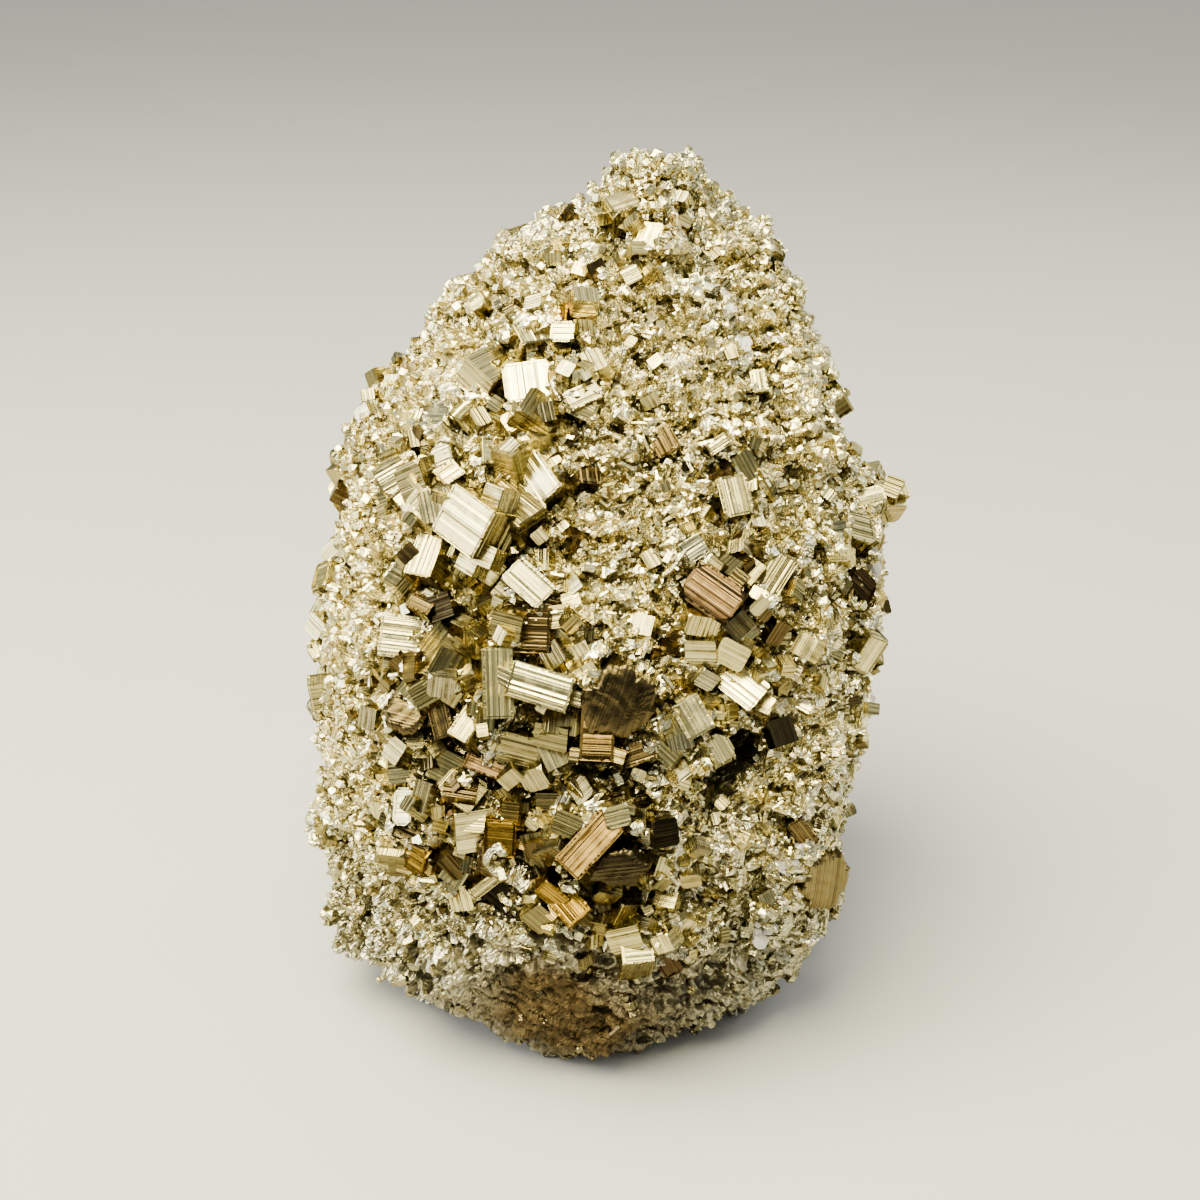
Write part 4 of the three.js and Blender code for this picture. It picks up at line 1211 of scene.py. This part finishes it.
def finishMetal(tree, colour, rough, bump, metal=1.0):
    # the metal itself, with painted shade on faces that look down, which are browner
    # and darker
    f = edgeTintAndUnderShade
    # painted shade: faces that look down darken toward the under colour
    facing = addNode(tree, "NewGeometry")
    split = addNode(tree, "SeparateXYZ", [(facing, "True Normal")])
    downShade = addNode(tree, "MapRange", [(split, "Z"), 0.25, -0.55, 0.0, f["underShadeShare"]], **eased)
    under = (*hexToLinear(f["under"]), 1)
    tinted = addNode(tree, "Mix", {0: (downShade, 0), 6: (colour, 2), 7: under}, **multiply)
    shader = addNode(tree, "BsdfPrincipled", {
        "Base Color": (tinted, 2), "Metallic": metal, "Roughness": (rough, 0),
        "Normal": (bump, 0), "Specular Tint": (*hexToLinear(f["edge"]), 1)})
    addNode(tree, "OutputMaterial", [(shader, "BSDF")])


cubeFinish = {
    "band": 0.6,  # mm, a light or dark band of striations
    "line": 0.5,  # mm, between single dark lines, drawn as coarse as they need to show
    "lineShade": 0.5,  # painted shade: brightness of those lines
    "dark": 0.28,  # brightness of the darkest bands, painted shade and tarnish
    "darkTint": "#d8b984",  # the bands are also a little more bronze
    "bumpDepth": 0.12,  # mm
    "roughness": (0.14, 0.34),  # from patch to patch
}


def pyriteCubeFace():
    # pyrite, grown: hard bright metal with fine parallel lines whose flashes of light and
    # dark are painted shade of the striation steps, and a thin tarnish that makes some bands bronze
    c = cubeFinish
    material, tree = newMaterial("grown_pyrite_cube_face")
    uv = addNode(tree, "UVMap", uv_map="faceMm")
    split = addNode(tree, "SeparateXYZ", [(uv, "UV")])
    tint = addNode(tree, "Attribute", attribute_name="tint")
    banding = addNode(tree, "Attribute", attribute_name="banding")
    patch = addNode(tree, "TexNoise", {"Vector": (uv, "UV"), "Scale": 0.4, "Detail": 3.0},
                    noise_dimensions="2D")
    bands = addNode(tree, "TexNoise", {
        "W": (split, "Y"), "Scale": 1 / c["band"], "Detail": 2.5, "Roughness": 0.75},
        noise_dimensions="1D")
    lines = addNode(tree, "TexNoise", {"W": (split, "Y"), "Scale": 1 / c["line"], "Detail": 1.0},
                    noise_dimensions="1D")
    # a band counts where the noise is low, less in some patches, and by its face's banding
    dark = addNode(tree, "MapRange", [(bands, 0), 0.53, 0.45, 0.0, 1.0], **eased)
    patchy = addNode(tree, "MapRange", [(patch, 0), 0.35, 0.65, 0.55, 1.1])
    share = addNode(tree, "Math", [(dark, 0), (patchy, 0)], operation="MULTIPLY")
    share = addNode(tree, "Math", [(share, 0), (banding, "Fac")],
                    operation="MULTIPLY", use_clamp=True)
    # a line runs where the other noise crosses its mean
    fromMean = addNode(tree, "Math", [(lines, 0), 0.5], operation="SUBTRACT")
    fromMean = addNode(tree, "Math", [(fromMean, 0)], operation="ABSOLUTE")
    lineShade = addNode(tree, "MapRange", [(fromMean, 0), 0.012, 0.05, c["lineShade"], 1.02])
    lined = addNode(tree, "Mix", {0: 1.0, 6: (tint, "Color"), 7: (lineShade, 0)}, **multiply)
    bandColour = (*(hexToLinear(c["darkTint"]) * c["dark"]), 1)
    banded = addNode(tree, "Mix", {0: (share, 0), 6: (lined, 2), 7: bandColour}, **multiply)
    rough = addNode(tree, "MapRange", [(patch, 0), 0.3, 0.7, *c["roughness"]])
    height = addNode(tree, "Math", [(bands, 0), (lines, 0)], operation="ADD")
    bump = addNode(tree, "Bump", {
        "Strength": 0.5, "Distance": c["bumpDepth"] * mm, "Height": (height, 0)})
    finishMetal(tree, banded, rough, bump)
    return material


grainFinish = {
    "pit": 0.5,  # mm
    "pitShade": 0.5,  # painted shade: brightness in the deepest pits
    "patch": 9.0,  # mm, patches a little brighter or duller
    "bumpDepth": 0.24,  # mm
    "roughness": (0.13, 0.33),  # from patch to patch
}


def pyriteGrain():
    # pyrite, grown as fine crystals: each grain a bright facet, a little pitted, with painted shade
    # in the pits
    c = grainFinish
    material, tree = newMaterial("grown_pyrite_grains")
    place = addNode(tree, "TexCoord")
    tint = addNode(tree, "Attribute", attribute_name="tint")
    pits = addNode(tree, "TexNoise", {
        "Vector": (place, "Object"), "Scale": 1 / (c["pit"] * mm), "Detail": 2.0})
    patches = addNode(tree, "TexNoise", {
        "Vector": (place, "Object"), "Scale": 1 / (c["patch"] * mm), "Detail": 3.0})
    shade = addNode(tree, "MapRange", [(pits, 0), 0.32, 0.62, c["pitShade"], 1.08])
    shaded = addNode(tree, "Mix", {0: 1.0, 6: (tint, "Color"), 7: (shade, 0)}, **multiply)
    rough = addNode(tree, "MapRange", [(patches, 0), 0.35, 0.65, *c["roughness"]])
    bump = addNode(tree, "Bump", {
        "Strength": 0.7, "Distance": c["bumpDepth"] * mm, "Height": (pits, 0)})
    finishMetal(tree, shaded, rough, bump)
    return material


groundFinish = {
    "cell": 0.8,  # mm, smallest crystals of the crust
    "cellShades": (0.7, 1.12),  # darkest and brightest of them
    "grit": 0.6,  # mm
    "bumpDepth": 0.2,  # mm
    "roughness": (0.22, 0.55),  # as grown, and where it is broken matt
    "metal": (1.0, 0.75),
}


def pyriteGround():
    # pyrite grown as a crust of tiny cubes between the grains: bright in specks, and
    # broken matt and brown at the foot
    c = groundFinish
    material, tree = newMaterial("pyrite_between_the_grains")
    place = addNode(tree, "TexCoord")
    tint = addNode(tree, "Attribute", attribute_name="tint")
    broken = addNode(tree, "Attribute", attribute_name="broken")
    cells = addNode(tree, "TexVoronoi", {
        "Vector": (place, "Object"), "Scale": 1 / (c["cell"] * mm)})
    grit = addNode(tree, "TexNoise", {
        "Vector": (place, "Object"), "Scale": 1 / (c["grit"] * mm), "Detail": 3.0})
    cellShade = addNode(tree, "MapRange", [(cells, "Color"), 0.2, 0.8, *c["cellShades"]])
    shaded = addNode(tree, "Mix", {0: 1.0, 6: (tint, "Color"), 7: (cellShade, 0)}, **multiply)
    metal = addNode(tree, "MapRange", [(broken, "Fac"), 0.0, 1.0, *c["metal"]])
    rough = addNode(tree, "MapRange", [(broken, "Fac"), 0.0, 1.0, *c["roughness"]])
    height = addNode(tree, "Math", [(grit, 0), (cells, "Distance")], operation="SUBTRACT")
    bump = addNode(tree, "Bump", {
        "Strength": 0.7, "Distance": c["bumpDepth"] * mm, "Height": (height, 0)})
    finishMetal(tree, shaded, rough, bump, (metal, 0))
    return material


quartzFinish = {
    "clear": "#dedbd6",
    "cloudy": "#a6a29e",
    "cloud": 1.5,  # mm, from cloudy to clear
    "bumpDepth": 0.15,  # mm
}


def milkyQuartz():
    # quartz, grown: milky grey, with a glassy skin that lets a little light in
    c = quartzFinish
    material, tree = newMaterial("milky_quartz")
    place = addNode(tree, "TexCoord")
    cloud = addNode(tree, "TexNoise", {
        "Vector": (place, "Object"), "Scale": 1 / (c["cloud"] * mm), "Detail": 3.0})
    clear, cloudy = [(*hexToLinear(c[key]), 1) for key in ("clear", "cloudy")]
    colour = addNode(tree, "Mix", {0: (cloud, 0), 6: clear, 7: cloudy}, data_type="RGBA")
    bump = addNode(tree, "Bump", {
        "Strength": 0.4, "Distance": c["bumpDepth"] * mm, "Height": (cloud, 0)})
    shader = addNode(tree, "BsdfPrincipled", {
        "Base Color": (colour, 2), "Roughness": 0.32, "IOR": 1.54,
        "Transmission Weight": 0.2, "Normal": (bump, 0)})
    addNode(tree, "OutputMaterial", [(shader, "BSDF")])
    return material


finishes = [
    (pyriteCubeFace(), [largePiece, middleCubes, brokenFacePiece]),
    (pyriteGrain(), grainPieces),
    (pyriteGround(), massPieces),
    (milkyQuartz(), [quartzLumps]),
]
for material, pieces in finishes:
    for piece in pieces:
        piece.data.materials.append(material)
        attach(piece, "root")
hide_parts("pyrite_cluster")
print("pyrite cluster: finishes set")

studio = {
    "floor": "#b3b3b0",
    # softboxes: name, place, aim, size, watts, colour
    "lights": [
        ("key_softbox", (-0.22, -0.2, 0.75), (0, 0.01, 0.09), (0.7, 0.56), 37.0, "#fff4ca"),
        ("left_panel", (-0.8, -0.1, 0.36), (0, 0, 0.09), (0.6, 0.5), 9.0, "#ffffff"),
        ("rim_panel", (0.6, 0.35, 0.45), (0, 0, 0.1), (0.4, 0.5), 3.0, "#ffffff"),
    ],
    "skyHigh": "#f6f7ee",
    "skyLow": "#7d807a",
    "backdrop": "#c9c7c2",
    "skyStrength": 1.2,
}


def paleFloor():
    # matt painted board, pale, with the faintest mottle
    mesh = bpy.data.meshes.new("studio_floor")
    reach = 6.0
    corners = [(-reach, -reach, 0), (reach, -reach, 0), (reach, reach, 0), (-reach, reach, 0)]
    mesh.from_pydata(corners, [], [(0, 1, 2, 3)])
    floor = bpy.data.objects.new("studio_floor", mesh)
    bpy.context.scene.collection.objects.link(floor)
    material, tree = newMaterial("pale_matt_board")
    place = addNode(tree, "TexCoord")
    mottle = addNode(tree, "TexNoise", {"Vector": (place, "Object"), "Scale": 30.0})
    pale = hexToLinear(studio["floor"])
    colour = addNode(tree, "Mix", {0: (mottle, 0), 6: (*pale, 1), 7: (*(pale * 0.96), 1)},
                     data_type="RGBA")
    shader = addNode(tree, "BsdfPrincipled", {"Base Color": (colour, 2), "Roughness": 0.7})
    addNode(tree, "OutputMaterial", [(shader, "BSDF")])
    mesh.materials.append(material)


def softLight(name, place, aim, size, watts, colour):
    # a rectangular softbox turned to face its aim
    light = bpy.data.lights.new(name, "AREA")
    light.shape = "RECTANGLE"
    light.size, light.size_y = size
    light.energy = watts
    light.color = hexToLinear(colour)
    lamp = bpy.data.objects.new(name, light)
    lamp.location = place
    lamp.rotation_euler = (Vector(aim) - Vector(place)).to_track_quat("-Z", "Y").to_euler()
    bpy.context.scene.collection.objects.link(lamp)


def studioSky():
    # soft white ceiling over grey walls, so that upright faces stay deep in tone
    world = bpy.data.worlds.new("studio_room")
    bpy.context.scene.world = world
    world.use_nodes = True
    tree = world.node_tree
    tree.nodes.clear()
    place = addNode(tree, "TexCoord")
    split = addNode(tree, "SeparateXYZ", [(place, "Generated")])
    height = addNode(tree, "MapRange", [(split, "Z"), 0.2, 0.8, 0.0, 1.0], **eased)
    low, high, backdrop = [(*hexToLinear(studio[key]), 1)
                           for key in ("skyLow", "skyHigh", "backdrop")]
    colour = addNode(tree, "Mix", {0: (height, 0), 6: low, 7: high}, data_type="RGBA")
    background = addNode(tree, "Background", [(colour, 2), studio["skyStrength"]])
    # behind the floor's edge the room is a plain pale sheet
    sheet = addNode(tree, "Background", [backdrop])
    ray = addNode(tree, "LightPath")
    seen = addNode(tree, "MixShader", [
        (ray, "Is Camera Ray"), (background, "Background"), (sheet, "Background")])
    addNode(tree, "OutputWorld", [(seen, "Shader")])


paleFloor()
studioSky()
for light in studio["lights"]:
    softLight(*light)

cameraData = bpy.data.cameras.new("studio_camera")
cameraData.lens = 55
camera = bpy.data.objects.new("studio_camera", cameraData)
camera.location = (0, -0.3353, 0.2364)
camera.rotation_euler = (math.radians(65), 0, 0)
bpy.context.scene.collection.objects.link(camera)
bpy.context.scene.camera = camera
print("pyrite cluster: studio and camera set")
